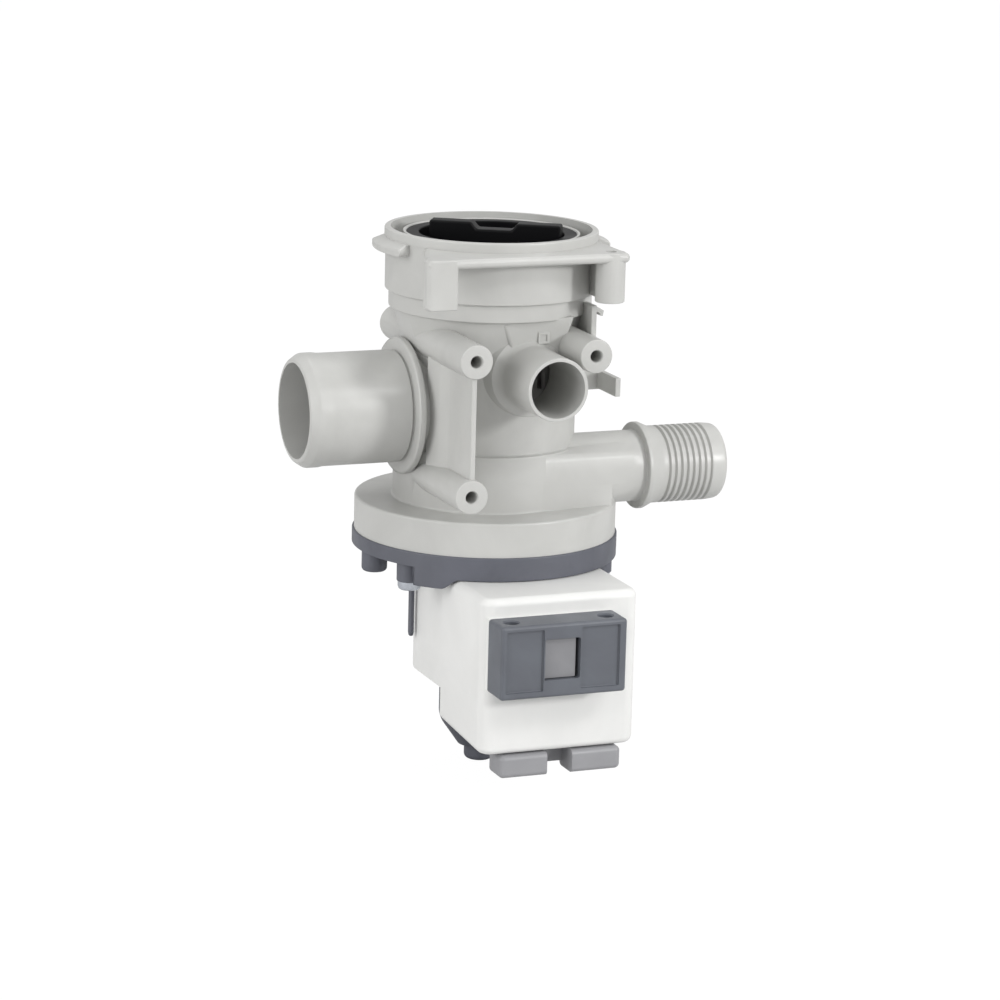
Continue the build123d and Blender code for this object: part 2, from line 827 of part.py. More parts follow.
with BuildPart() as motor_bracket:
    with BuildSketch(Plane.XZ):
        outline(
            (0, plug_top, 0),
            (plug_radius, plug_top, plug_round),
            (plug_radius, chamber_seal_z + chamber_groove_half, 0),
            (chamber_groove_radius, chamber_seal_z + chamber_groove_half, 0),
            (chamber_groove_radius, chamber_seal_z - chamber_groove_half, 0),
            (plug_radius, chamber_seal_z - chamber_groove_half, 0),
            (plug_radius, disc_bottom, 0),
            (flange_radius, disc_bottom, flange_edge_round),
            (flange_radius, flange_bottom, flange_edge_round),
            (can_root_radius, flange_bottom, 0),
            (can_radius, stator_top + turning_gap, 0),
            (can_radius, can_bottom, 0),
            (can_cone_radius, cone_bottom, 0),
            (nose_radius, cone_bottom, 0),
            (nose_radius, nose_bottom, nose_round),
            (0, nose_bottom, 0),
        )
    revolve(axis=Axis.Z)

    # Skirt under the front half of the flange, deeper beside the left screw
    for skirt_from, skirt_to, height in (
        (skirt_start, skirt_end, skirt_height),
        (skirt_start, deep_skirt_end, deep_skirt_height),
    ):
        ring_sector(
            skirt_from,
            skirt_to,
            (skirt_radius - skirt_wall, flange_bottom + edge_round, 0),
            (skirt_radius, flange_bottom + edge_round, 0),
            (skirt_radius, flange_bottom - height, edge_round),
            (skirt_radius - skirt_wall, flange_bottom - height, edge_round),
        )

    # Screw towers, and two blind ones that only locate the flange
    with BuildSketch(Plane.XY.offset(flange_bottom)):
        with PolarLocations(tower_ring_radius, screw_count, start_angle=screw_start_angle):
            Circle(tower_radius)
    extrude(amount=-tower_height)
    for tower_angle in blind_angles:
        tower_x = tower_ring_radius * cos(radians(tower_angle))
        tower_y = tower_ring_radius * sin(radians(tower_angle))
        with BuildSketch(upright_plane(0, origin=(tower_x, tower_y, 0))) as half_tower:
            outline(
                (0, flange_bottom, 0),
                (tower_radius, flange_bottom, 0),
                (tower_radius, flange_bottom - blind_tower_height, tower_round),
                (0, flange_bottom - blind_tower_height, 0),
            )
        revolve(half_tower.sketch, axis=Axis((tower_x, tower_y, 0), (0, 0, 1)))

    # Two arms that hold the stator's sides
    arm_x = stator_back_radius + turning_gap
    for side in (-1, 1):
        with BuildSketch(Plane.YZ.offset(side * arm_x)):
            outline(
                (-arm_width / 2 - arm_shift, flange_bottom, 0),
                (arm_width / 2 - arm_shift, flange_bottom, 0),
                (arm_width / 2 - arm_shift, flange_bottom - arm_height, arm_round),
                (-arm_width / 2 - arm_shift, flange_bottom - arm_height, arm_round),
            )
        extrude(amount=side * arm_thickness)

    # Inside of the can, with the seat of the bearing plate above and the rear bearing's pocket below
    with BuildSketch(Plane.XZ):
        outline(
            (0, plug_top + overrun, 0),
            (bearing_plate_radius + seat_gap, plug_top + overrun, 0),
            (bearing_plate_radius + seat_gap, plate_bottom, 0),
            (can_bore_radius, plate_bottom, 0),
            (can_bore_radius, can_bottom, 0),
            (can_cone_radius - can_wall, cone_bottom + can_wall / 2, 0),
            (rear_pocket_radius, cone_bottom + can_wall / 2, 0),
            (rear_pocket_radius, rear_bearing_bottom - seat_gap, 0),
            (0, rear_bearing_bottom - seat_gap, 0),
        )
    revolve(axis=Axis.Z, mode=Mode.SUBTRACT)

    # Ribbed hollow under the plug
    hollow_inner_radius = can_root_radius + can_wall
    hollow_outer_radius = chamber_groove_radius - plug_wall
    with BuildSketch(Plane.XY.offset(flange_bottom)):
        Circle(hollow_outer_radius)
        Circle(hollow_inner_radius, mode=Mode.SUBTRACT)
        with PolarLocations((hollow_inner_radius + hollow_outer_radius) / 2, plug_rib_count):
            Rectangle(hollow_outer_radius, plug_rib_width, mode=Mode.SUBTRACT)
    extrude(amount=plug_top - plug_plate - flange_bottom, mode=Mode.SUBTRACT)

    # Screw holes
    with BuildSketch(Plane.XY.offset(disc_bottom + overrun)):
        with PolarLocations(tower_ring_radius, screw_count, start_angle=screw_start_angle):
            Circle(screw_hole_radius)
    extrude(amount=screw_head_top - disc_bottom - 2 * overrun, mode=Mode.SUBTRACT)

motor_bracket.part.label = "motor_bracket"
export_step(motor_bracket.part, "parts/motor_bracket.step")


# Screws that hold the flange to the disc from below
with BuildPart() as flange_screws:
    with BuildSketch(Plane.XY.offset(screw_head_top)):
        with PolarLocations(tower_ring_radius, screw_count, start_angle=screw_start_angle):
            Circle(screw_head_radius)
    extrude(amount=-screw_head_height)
    fillet(flange_screws.edges().group_by(Axis.Z)[0], screw_head_round)
    with BuildSketch(Plane.XY.offset(screw_head_top)):
        with PolarLocations(tower_ring_radius, screw_count, start_angle=screw_start_angle):
            Circle(screw_radius)
    extrude(amount=screw_length)

flange_screws.part.label = "flange_screws"
export_step(flange_screws.part, "parts/flange_screws.step")


# Rubber ring between the plug and its bore
with BuildPart() as chamber_seal:
    with BuildSketch(Plane.XZ):
        with Locations((chamber_seal_ring, chamber_seal_z)):
            Circle(chamber_seal_wire)
    revolve(axis=Axis.Z)

chamber_seal.part.label = "chamber_seal"
export_step(chamber_seal.part, "parts/chamber_seal.step")


# Filter knob: a cup with a grip bar, which screws into the mouth
filter_seal_z = -filter_seal_drop
filter_seal_ring = bore_radius - turning_gap - filter_seal_wire
filter_groove_radius = filter_seal_ring - filter_seal_wire - turning_gap
filter_groove_half = filter_seal_wire + turning_gap
knob_inner_radius = knob_radius - knob_wall
knob_floor_bottom = -knob_floor_drop - knob_floor
spigot_radius = cage_radius - cage_wall - seat_gap

with BuildPart() as filter_knob:
    with BuildSketch(Plane.XZ):
        outline(
            (0, -knob_floor_drop, 0),
            (knob_inner_radius, -knob_floor_drop, 0),
            (knob_inner_radius, -knob_drop, edge_round),
            (knob_radius, -knob_drop, edge_round),
            (knob_radius, filter_seal_z + filter_groove_half, 0),
            (filter_groove_radius, filter_seal_z + filter_groove_half, 0),
            (filter_groove_radius, filter_seal_z - filter_groove_half, 0),
            (knob_radius, filter_seal_z - filter_groove_half, 0),
            (knob_radius, knob_bottom, 0),
            (spigot_radius, knob_bottom, 0),
            (spigot_radius, knob_bottom - spigot_height, 0),
            (spigot_radius - spigot_wall, knob_bottom - spigot_height, 0),
            (spigot_radius - spigot_wall, knob_floor_bottom, 0),
            (0, knob_floor_bottom, 0),
        )
    revolve(axis=Axis.Z)
    with BuildSketch(upright_plane(grip_angle)):
        outline(
            (-grip_left, knob_floor_bottom, 0),
            (-grip_left, grip_rise, grip_round),
            (-grip_dip_left, grip_rise, grip_round),
            (-grip_dip_left + grip_slope, grip_rise - grip_dip, grip_round),
            (grip_dip_right - grip_slope, grip_rise - grip_dip, grip_round),
            (grip_dip_right, grip_rise, grip_round),
            (grip_right, grip_rise, grip_round),
            (grip_right, knob_floor_bottom, 0),
        )
    extrude(amount=grip_width / 2, both=True)

filter_knob.part.label = "filter_knob"
export_step(filter_knob.part, "parts/filter_knob.step")


# Rubber ring round the knob
with BuildPart() as filter_seal:
    with BuildSketch(Plane.XZ):
        with Locations((filter_seal_ring, filter_seal_z)):
            Circle(filter_seal_wire)
    revolve(axis=Axis.Z)

filter_seal.part.label = "filter_seal"
export_step(filter_seal.part, "parts/filter_seal.step")


# Strainer under the knob, open towards the inlet
with BuildPart() as filter_cage:
    with BuildSketch(Plane.XY.offset(cage_bottom)):
        Circle(cage_radius)
    extrude(amount=cage_height)
    with BuildSketch(Plane.XY.offset(cage_bottom + cage_floor)):
        Circle(cage_radius - cage_wall)
    extrude(amount=cage_height, mode=Mode.SUBTRACT)
    for row in range(cage_window_rows):
        window_z = cage_top - cage_window_drop - cage_window_height / 2 - row * cage_window_pitch
        with Locations((0, 0, window_z)):
            with PolarLocations(
                cage_radius,
                cage_window_count,
                start_angle=-cage_window_angle,
                angular_range=2 * cage_window_angle,
                endpoint=True,
            ):
                Box(4 * cage_wall, cage_window_width, cage_window_height, mode=Mode.SUBTRACT)
    with BuildSketch(Plane.XY.offset(cage_bottom)):
        with PolarLocations(cage_floor_hole_ring, cage_floor_hole_count):
            Circle(cage_floor_hole_radius)
    extrude(amount=cage_floor, mode=Mode.SUBTRACT)
    turned(
        inlet_plane,
        (0, 0, 0),
        (inlet_reach, 0, 0),
        (inlet_reach, cage_inlet_radius, 0),
        (0, cage_inlet_radius, 0),
        mode=Mode.SUBTRACT,
    )

filter_cage.part.label = "filter_cage"
export_step(filter_cage.part, "parts/filter_cage.step")


# Impeller with straight vanes, which pumps the same way in both directions
with BuildPart() as impeller:
    with BuildSketch(Plane.XY.offset(impeller_bottom)):
        Circle(impeller_radius)
    extrude(amount=impeller_plate)
    with BuildSketch(Plane.XY.offset(impeller_bottom)):
        Circle(impeller_hub_radius)
        with PolarLocations(impeller_radius / 2, vane_count):
            Rectangle(impeller_radius - 2 * vane_step, vane_thickness)
    extrude(amount=impeller_top - impeller_bottom)
    with BuildSketch(Plane.XY.offset(impeller_bottom)):
        Circle(shaft_radius + shaft_gap)
    extrude(amount=shaft_top + seat_gap - impeller_bottom, mode=Mode.SUBTRACT)

impeller.part.label = "impeller"
export_step(impeller.part, "parts/impeller.step")


# Shaft, with the collar that the magnet rests on
with BuildPart() as impeller_shaft:
    with BuildSketch(Plane.XY.offset(shaft_bottom)):
        Circle(shaft_radius)
    extrude(amount=shaft_top - shaft_bottom)
    chamfer(impeller_shaft.edges().filter_by(GeomType.CIRCLE), shaft_radius / 5)
    with BuildSketch(Plane.XY.offset(collar_ring_top)):
        Circle(collar_ring_radius)
    extrude(amount=-collar_ring_height)

impeller_shaft.part.label = "impeller_shaft"
export_step(impeller_shaft.part, "parts/impeller_shaft.step")


# Driven dog: fixed on the shaft, and struck by the magnet's claw at either end of its free swing
with BuildPart() as driven_dog:
    with BuildSketch(Plane.XY.offset(dog_bottom)):
        Circle(dog_hub_radius)
    extrude(amount=dog_height)
    ring_sector(
        -dog_half_angle,
        dog_half_angle,
        (shaft_radius, dog_bottom, 0),
        (dog_radius, dog_bottom, 0),
        (dog_radius, dog_top, 0),
        (shaft_radius, dog_top, 0),
    )
    with BuildSketch(Plane.XY.offset(dog_bottom)):
        Circle(shaft_radius + shaft_gap)
    extrude(amount=dog_height, mode=Mode.SUBTRACT)

driven_dog.part.label = "driven_dog"
export_step(driven_dog.part, "parts/driven_dog.step")


# Magnet hub with its claw
with BuildPart() as magnet_hub:
    with BuildSketch(Plane.XZ):
        outline(
            (shaft_radius + shaft_gap, hub_top, 0),
            (hub_flange_radius, hub_top, 0),
            (hub_flange_radius, magnet_top, 0),
            (magnet_bore_radius - seat_gap, magnet_top, 0),
            (magnet_bore_radius - seat_gap, magnet_bottom, 0),
            (shaft_radius + shaft_gap, magnet_bottom, 0),
        )
    revolve(axis=Axis.Z)
    ring_sector(
        180 - claw_half_angle,
        180 + claw_half_angle,
        (claw_inner_radius, magnet_top, 0),
        (claw_radius, magnet_top, 0),
        (claw_radius, hub_top + claw_height, 0),
        (claw_inner_radius, hub_top + claw_height, 0),
    )

magnet_hub.part.label = "magnet_hub"
export_step(magnet_hub.part, "parts/magnet_hub.step")


# Rubber pads on both sides of the claw
with BuildPart() as dog_bumper:
    for pad_start in (180 - claw_half_angle - bumper_angle, 180 + claw_half_angle):
        ring_sector(
            pad_start,
            pad_start + bumper_angle,
            (claw_inner_radius, hub_top, 0),
            (claw_radius, hub_top, 0),
            (claw_radius, hub_top + claw_height, 0),
            (claw_inner_radius, hub_top + claw_height, 0),
        )

dog_bumper.part.label = "dog_bumper"
export_step(dog_bumper.part, "parts/dog_bumper.step")


# Ring magnet
with BuildPart() as rotor_magnet:
    with BuildSketch(Plane.XY.offset(magnet_bottom)):
        Circle(magnet_radius)
        Circle(magnet_bore_radius, mode=Mode.SUBTRACT)
    extrude(amount=magnet_height)

rotor_magnet.part.label = "rotor_magnet"
export_step(rotor_magnet.part, "parts/rotor_magnet.step")


# Washers between the dog and the magnet, and between the magnet and the shaft's collar
with BuildPart() as thrust_washers:
    for washer_top in (dog_bottom - washer_gap, magnet_bottom - washer_gap):
        with BuildSketch(Plane.XY.offset(washer_top)):
            Circle(washer_radius)
            Circle(shaft_radius + shaft_gap, mode=Mode.SUBTRACT)
        extrude(amount=-washer_thickness)

thrust_washers.part.label = "thrust_washers"
export_step(thrust_washers.part, "parts/thrust_washers.step")


# Bearing plate, which closes the top of the can
with BuildPart() as bearing_plate:
    with BuildSketch(Plane.XZ):
        outline(
            (lip_seal_radius + seat_gap, plug_top, 0),
            (bearing_plate_radius, plug_top, 0),
            (bearing_plate_radius, plate_bottom, 0),
            (can_bore_radius - seat_gap, plate_bottom, 0),
            (can_bore_radius - seat_gap, bearing_hub_bottom, 0),
            (cushion_radius + seat_gap, bearing_hub_bottom, 0),
            (cushion_radius + seat_gap, bearing_pocket_top, 0),
            (bearing_web_hole_radius, bearing_pocket_top, 0),
            (bearing_web_hole_radius, seal_pocket_bottom, 0),
            (lip_seal_radius + seat_gap, seal_pocket_bottom, 0),
        )
    revolve(axis=Axis.Z)

bearing_plate.part.label = "bearing_plate"
export_step(bearing_plate.part, "parts/bearing_plate.step")


# Shaft seal
with BuildPart() as lip_seal:
    with BuildSketch(Plane.XY.offset(seal_pocket_bottom)):
        Circle(lip_seal_radius)
        Circle(shaft_radius + shaft_gap, mode=Mode.SUBTRACT)
    extrude(amount=lip_seal_height)

lip_seal.part.label = "lip_seal"
export_step(lip_seal.part, "parts/lip_seal.step")


# Front bearing, in its rubber cushion
with BuildPart() as front_bearing:
    with BuildSketch(Plane.XY.offset(bearing_top)):
        Circle(bearing_radius)
        Circle(shaft_radius + shaft_gap, mode=Mode.SUBTRACT)
    extrude(amount=-bearing_height)

front_bearing.part.label = "front_bearing"
export_step(front_bearing.part, "parts/front_bearing.step")

with BuildPart() as bearing_cushion:
    with BuildSketch(Plane.XY.offset(bearing_top)):
        Circle(cushion_radius)
        Circle(bearing_radius + seat_gap, mode=Mode.SUBTRACT)
    extrude(amount=-bearing_height)

bearing_cushion.part.label = "bearing_cushion"
export_step(bearing_cushion.part, "parts/bearing_cushion.step")


# Rear bearing, in the nose of the can
with BuildPart() as rear_bearing:
    with BuildSketch(Plane.XY.offset(rear_bearing_bottom)):
        Circle(rear_bearing_radius)
        Circle(shaft_radius + shaft_gap, mode=Mode.SUBTRACT)
    extrude(amount=rear_bearing_height)

rear_bearing.part.label = "rear_bearing"
export_step(rear_bearing.part, "parts/rear_bearing.step")


# Laminations: two legs, two pole halves round the rotor, and the yoke that joins the legs in front
with BuildPart() as stator_core:
    with BuildSketch(Plane.XY.offset(core_bottom)):
        Circle(core_ring_radius)
        leg_length = core_yoke_front - core_leg_back
        with Locations((-core_leg_x, -core_leg_back), (core_leg_x, -core_leg_back)):
            Rectangle(core_leg_width, leg_length, align=(Align.CENTER, Align.MAX))
        with Locations((0, -core_yoke_front)):
            Rectangle(2 * core_leg_x + core_leg_width, core_yoke_depth, align=(Align.CENTER, Align.MIN))
        Circle(stator_bore_radius, mode=Mode.SUBTRACT)
        Rectangle(core_slot, 2 * core_ring_radius, mode=Mode.SUBTRACT)
    extrude(amount=core_height)

stator_core.part.label = "stator_core"
export_step(stator_core.part, "parts/stator_core.step")


# Bobbin: two tubes between flanges, with the feet that show under the block
coil_places = ((-core_leg_x, core_middle), (core_leg_x, core_middle))

with BuildPart() as coil_bobbin:
    with BuildSketch(Plane.XZ.offset(bobbin_back)):
        with Locations(*coil_places):
            Rectangle(2 * tube_half_width, tube_height)
    extrude(amount=bobbin_length)
    for flange_y in (bobbin_back, bobbin_front - bobbin_flange):
        with BuildSketch(Plane.XZ.offset(flange_y)):
            with Locations((0, core_middle)):
                RectangleRounded(2 * bobbin_half_width, coil_height, coil_round)
        extrude(amount=bobbin_flange)
    with BuildSketch(Plane.XZ.offset(bobbin_back - overrun)):
        with Locations(*coil_places):
            Rectangle(2 * leg_hole_half_width, leg_hole_height)
    extrude(amount=bobbin_length + 2 * overrun, mode=Mode.SUBTRACT)
    upright_box(
        -bobbin_neck_half_width,
        bobbin_neck_half_width,
        -bobbin_neck_front,
        -bobbin_front + bobbin_flange,
        foot_top,
        core_bottom - bobbin_flange,
    )
    foot_back = foot_front - foot_depth
    with BuildSketch(Plane.XY.offset(foot_bottom)):
        outline(
            (-foot_left, -foot_front, foot_round),
            (foot_right, -foot_front, foot_round),
            (foot_right, -foot_back, foot_round),
            (-foot_left, -foot_back, foot_round),
        )
    extrude(amount=foot_height)
    foot_web_front = foot_back + foot_web_thickness
    for notch_back, notch_top in (
        (foot_web_front, foot_top),
        (foot_back - overrun, foot_bottom + foot_web_rise),
    ):
        upright_box(
            -foot_notch_left,
            foot_notch_right,
            -foot_front - overrun,
            -notch_back,
            foot_bottom - overrun,
            notch_top,
            mode=Mode.SUBTRACT,
        )

coil_bobbin.part.label = "coil_bobbin"
export_step(coil_bobbin.part, "parts/coil_bobbin.step")


# Two coils of enamelled wire, as their outer form
with BuildPart() as coil_windings:
    with BuildSketch(Plane.XZ.offset(coil_back)):
        with Locations(*coil_places):
            RectangleRounded(2 * coil_half_width, coil_height, coil_round)
            Rectangle(2 * tube_half_width + seat_gap, tube_height + seat_gap, mode=Mode.SUBTRACT)
    extrude(amount=coil_front - coil_back)

coil_windings.part.label = "coil_windings"
export_step(coil_windings.part, "parts/coil_windings.step")


# Thermal cutout between the coils
with BuildPart() as thermal_cutout:
    cutout_half = core_leg_x - coil_half_width - turning_gap
    cutout_middle = (coil_front + coil_back) / 2
    upright_box(
        -cutout_half,
        cutout_half,
        -cutout_middle - cutout_length / 2,
        -cutout_middle + cutout_length / 2,
        core_middle - cutout_height / 2,
        core_middle + cutout_height / 2,
    )

thermal_cutout.part.label = "thermal_cutout"
export_step(thermal_cutout.part, "parts/thermal_cutout.step")


# White block moulded round the coils and the poles
with BuildPart() as stator_overmould:
    with BuildSketch(Plane.YZ.offset(-stator_left)):
        outline(
            (-stator_front, stator_top, 0),
            (-stator_back, stator_top, 0),
            (-stator_back, stator_bottom + stator_bottom_rise, 0),
            (-stator_front, stator_bottom, 0),
        )
    extrude(amount=stator_left + stator_right)
    fillet(stator_overmould.edges().filter_by(Axis.Z).group_by(Axis.Y)[0], stator_round)
    fillet(stator_overmould.faces().sort_by(Axis.Z)[0].edges(), stator_bottom_round)
    with BuildSketch(Plane.XY.offset(stator_top)):
        Circle(stator_back_radius)
        with Locations((0, -stator_back)):
            Rectangle(2 * stator_back_radius, stator_back, align=(Align.CENTER, Align.MIN))
    extrude(amount=-stator_back_height)
    upright_box(
        connector_left - connector_pad_margin,
        connector_right + connector_pad_margin,
        -connector_back,
        -stator_front + stator_round,
        connector_bottom - connector_pad_margin,
        connector_top + connector_pad_margin,
    )

    # Room for the coils, the laminations, the bobbin's neck and the rotor can
    upright_box(
        -bobbin_half_width - turning_gap,
        bobbin_half_width + turning_gap,
        -core_yoke_front - turning_gap,
        -bobbin_back + turning_gap,
        coil_space_bottom,
        coil_space_top,
        mode=Mode.SUBTRACT,
    )
    with BuildSketch(Plane.XY.offset(core_bottom - seat_gap)):
        Circle(core_ring_radius + seat_gap)
        with Locations((-core_leg_x, 0), (core_leg_x, 0)):
            Rectangle(2 * leg_hole_half_width, bobbin_back, align=(Align.CENTER, Align.MAX))
    extrude(amount=leg_hole_height, mode=Mode.SUBTRACT)
    upright_box(
        -bobbin_neck_half_width - seat_gap,
        bobbin_neck_half_width + seat_gap,
        -bobbin_neck_front - seat_gap,
        -bobbin_front + bobbin_flange + seat_gap,
        stator_bottom - overrun,
        coil_space_bottom,
        mode=Mode.SUBTRACT,
    )
    with BuildSketch(Plane.XY.offset(stator_top + overrun)):
        Circle(stator_bore_radius)
    extrude(amount=-stator_height - 2 * overrun, mode=Mode.SUBTRACT)

stator_overmould.part.label = "stator_overmould"
export_step(stator_overmould.part, "parts/stator_overmould.step")


# Socket block on the front of the stator
window_top = connector_top - window_drop
socket_y = (connector_front + connector_back) / 2
socket_places = [(side * socket_x - connector_shift, -socket_y) for side in (-1, 1)]
holder_front = connector_front - holder_inset

with BuildPart() as connector_block:
    upright_box(
        connector_left,
        connector_right,
        -connector_front,
        -connector_back,
        connector_bottom,
        connector_top,
    )
    fillet(connector_block.edges().group_by(Axis.Y)[0], connector_round)
    for panel_left, panel_right in (
        (-left_panel_start, -left_panel_end),
        (right_panel_start, right_panel_end),
    ):
        upright_box(
            panel_left - connector_shift,
            panel_right - connector_shift,
            -connector_front - overrun,
            -connector_front + panel_depth,
            connector_bottom + panel_bottom_margin,
            connector_top - panel_top_margin,
            mode=Mode.SUBTRACT,
        )
    upright_box(
        -window_left - connector_shift,
        window_right - connector_shift,
        -connector_front - overrun,
        -holder_front + holder_depth,
        window_top - window_height,
        window_top,
        mode=Mode.SUBTRACT,
    )
    with BuildSketch(Plane.XY.offset(connector_top)):
        with Locations(*socket_places):
            Circle(socket_radius)
    extrude(amount=-socket_depth, mode=Mode.SUBTRACT)
    with BuildSketch(Plane.XY.offset(connector_top)):
        with Locations(*socket_places):
            Circle(pin_radius + seat_gap)
    extrude(amount=-pin_drop - pin_length, mode=Mode.SUBTRACT)

connector_block.part.label = "connector_block"
export_step(connector_block.part, "parts/connector_block.step")


# Contacts in the two sockets
with BuildPart() as terminal_pins:
    with BuildSketch(Plane.XY.offset(connector_top - pin_drop)):
        with Locations(*socket_places):
            Circle(pin_radius)
    extrude(amount=-pin_length)

terminal_pins.part.label = "terminal_pins"
export_step(terminal_pins.part, "parts/terminal_pins.step")


# Insert that shows in the window
with BuildPart() as terminal_holder:
    upright_box(
        -window_left - connector_shift + seat_gap,
        -window_left - connector_shift + seat_gap + holder_width,
        -holder_front,
        -holder_front + holder_depth - seat_gap,
        window_top - window_height + seat_gap,
        window_top - seat_gap,
    )

terminal_holder.part.label = "terminal_holder"
export_step(terminal_holder.part, "parts/terminal_holder.step")
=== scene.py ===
from math import atan2, cos, degrees, hypot, pi, radians, sin, sqrt

import bmesh
import bpy
from mathutils import Matrix, Vector


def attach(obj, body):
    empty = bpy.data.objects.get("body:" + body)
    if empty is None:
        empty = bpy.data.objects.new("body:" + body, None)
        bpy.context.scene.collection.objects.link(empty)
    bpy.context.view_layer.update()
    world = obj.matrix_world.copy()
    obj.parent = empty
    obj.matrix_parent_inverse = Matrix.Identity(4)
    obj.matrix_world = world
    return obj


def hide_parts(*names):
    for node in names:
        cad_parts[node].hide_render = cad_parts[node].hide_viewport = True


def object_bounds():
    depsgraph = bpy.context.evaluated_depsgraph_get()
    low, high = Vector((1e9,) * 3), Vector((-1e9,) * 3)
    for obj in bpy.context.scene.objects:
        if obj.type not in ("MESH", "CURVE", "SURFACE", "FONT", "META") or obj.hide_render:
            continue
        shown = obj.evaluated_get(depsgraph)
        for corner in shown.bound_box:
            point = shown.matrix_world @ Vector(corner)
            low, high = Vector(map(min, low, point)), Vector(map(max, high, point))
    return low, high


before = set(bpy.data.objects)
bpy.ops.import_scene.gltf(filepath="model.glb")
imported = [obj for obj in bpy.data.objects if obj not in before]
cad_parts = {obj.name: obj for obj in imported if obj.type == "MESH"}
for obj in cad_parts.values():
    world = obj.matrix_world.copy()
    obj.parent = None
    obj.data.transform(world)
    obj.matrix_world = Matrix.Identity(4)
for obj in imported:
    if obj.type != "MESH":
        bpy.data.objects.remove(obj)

cad_box = [list(corner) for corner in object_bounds()]

# Pump housing. One injection moulding of talc-filled polypropylene: filter mouth, neck, pump chamber,
# three hose spigots and the screw bosses that hold it to the washer's front panel. Sizes in millimetres.
mm = 0.001
sharp_angle = radians(28)
round_steps = 128
overrun = 1.0

rim_radius, rim_bottom = 38.0, -3.3
mouth_radius, mouth_floor = 35.8, -17.0
collar_radius, collar_bottom = 37.6, -22.0
band_radius, band_bottom = 36.2, -28.3
shoulder_radius, shoulder_bottom = 34.5, -40.0
neck_radius, neck_bore = 31.4, 28.9
sleeve_top, sleeve_mouth_radius, sleeve_chamfer_bottom = -1.5, 30.6, -4.2
drum_radius, drum_top, drum_bore = 33.5, -76.5, 30.5
partition_top, partition_bottom, eye_radius = -80.0, -82.5, 13.0
disc_radius, disc_top, disc_bottom = 47.1, -97.0, -109.3
disc_groove_inner, disc_groove_outer = 39.8, 44.4
seat_level, plug_bore = -100.0, 36.8
edge_round, root_round, disc_round = 0.6, 1.0, 0.9
housing_colours = ("C0C0BD", "B9B9B6")


def linear(colour):
    """Linear colour from an sRGB hex value."""
    parts = [int(colour[i : i + 2], 16) / 255 for i in (0, 2, 4)]
    return [c / 12.92 if c <= 0.04045 else ((c + 0.055) / 1.055) ** 2.4 for c in parts] + [1]


def bare_material(name):
    """A new material and its empty node tree."""
    material = bpy.data.materials.new(name)
    material.use_nodes = True
    material.node_tree.nodes.clear()
    return material, material.node_tree


def add_node(tree, kind, inputs=None, **settings):
    """Adds one node with its settings. An input is a value, or the (node, output) pair that feeds it."""
    node = tree.nodes.new(kind)
    for name, value in settings.items():
        setattr(node, name, value)
    for name, value in (inputs or {}).items():
        if isinstance(value, tuple) and isinstance(value[0], bpy.types.Node):
            tree.links.new(value[0].outputs[value[1]], node.inputs[name])
        else:
            node.inputs[name].default_value = value
    return node


def moulded_plastic(name, colours, roughness, grain, relief, ior=1.49, flow=24 * mm):
    """Moulded plastic: clouds of colour from the melt's flow, and the grain of the spark-eroded mould.

    The real grain is about 0.1 mm. It is drawn a few times coarser so that it shows.
    """
    material, tree = bare_material(name)
    place_on = add_node(tree, "ShaderNodeTexCoord")
    clouds = add_node(
        tree,
        "ShaderNodeTexNoise",
        {
            "Vector": (place_on, "Object"),
            "Scale": 1 / flow,
            "Detail": 4.0,
            "Roughness": 0.55,
            "Distortion": 0.6,
        },
    )
    spread = add_node(tree, "ShaderNodeMapRange", {0: (clouds, 0), 1: 0.35, 2: 0.65, 3: 0.0, 4: 1.0})
    tint = add_node(
        tree,
        "ShaderNodeMix",
        {0: (spread, 0), 6: linear(colours[0]), 7: linear(colours[1])},
        data_type="RGBA",
    )
    pits = add_node(
        tree,
        "ShaderNodeTexNoise",
        {"Vector": (place_on, "Object"), "Scale": 1 / grain, "Detail": 2.0, "Roughness": 0.6},
    )
    sheen = add_node(
        tree,
        "ShaderNodeMapRange",
        {0: (clouds, 0), 1: 0.3, 2: 0.7, 3: roughness - 0.05, 4: roughness + 0.07},
    )
    bump = add_node(tree, "ShaderNodeBump", {"Height": (pits, 0), "Distance": relief, "Strength": 0.6})
    shader = add_node(
        tree,
        "ShaderNodeBsdfPrincipled",
        {"Base Color": (tint, 2), "Roughness": (sheen, 0), "IOR": ior, "Normal": (bump, 0)},
    )
    add_node(tree, "ShaderNodeOutputMaterial", {"Surface": (shader, 0)})
    return material


def turned(corners, origin=(0, 0, 0), axis=(0, 0, 1), start=0, sweep=360, steps=96):
    """Turned solid: the (distance along the axis, radius) corners spun about the axis."""
    mesh = bmesh.new()
    axis = Vector(axis)
    side = Vector((cos(radians(start)), sin(radians(start)), 0)) if axis.z else axis.cross(Vector((0, 0, 1)))
    points = [Vector(origin) + axis * along + side * radius for along, radius in corners]
    verts = [mesh.verts.new(point) for point in points]
    if sweep < 360:
        face = mesh.faces.new(verts)
        bmesh.ops.spin(
            mesh,
            geom=[face] + list(mesh.edges) + verts,
            cent=origin,
            axis=axis,
            angle=radians(sweep),
            steps=steps,
        )
    else:
        edges = [mesh.edges.new(pair) for pair in zip(verts, verts[1:])]
        if corners[0][1] > 0 or corners[-1][1] > 0:
            edges.append(mesh.edges.new((verts[-1], verts[0])))
        bmesh.ops.spin(
            mesh,
            geom=verts + edges,
            cent=origin,
            axis=axis,
            angle=2 * pi,
            steps=steps,
            use_merge=True,
        )
    bmesh.ops.remove_doubles(mesh, verts=mesh.verts, dist=0.001)
    bmesh.ops.recalc_face_normals(mesh, faces=mesh.faces)
    return mesh


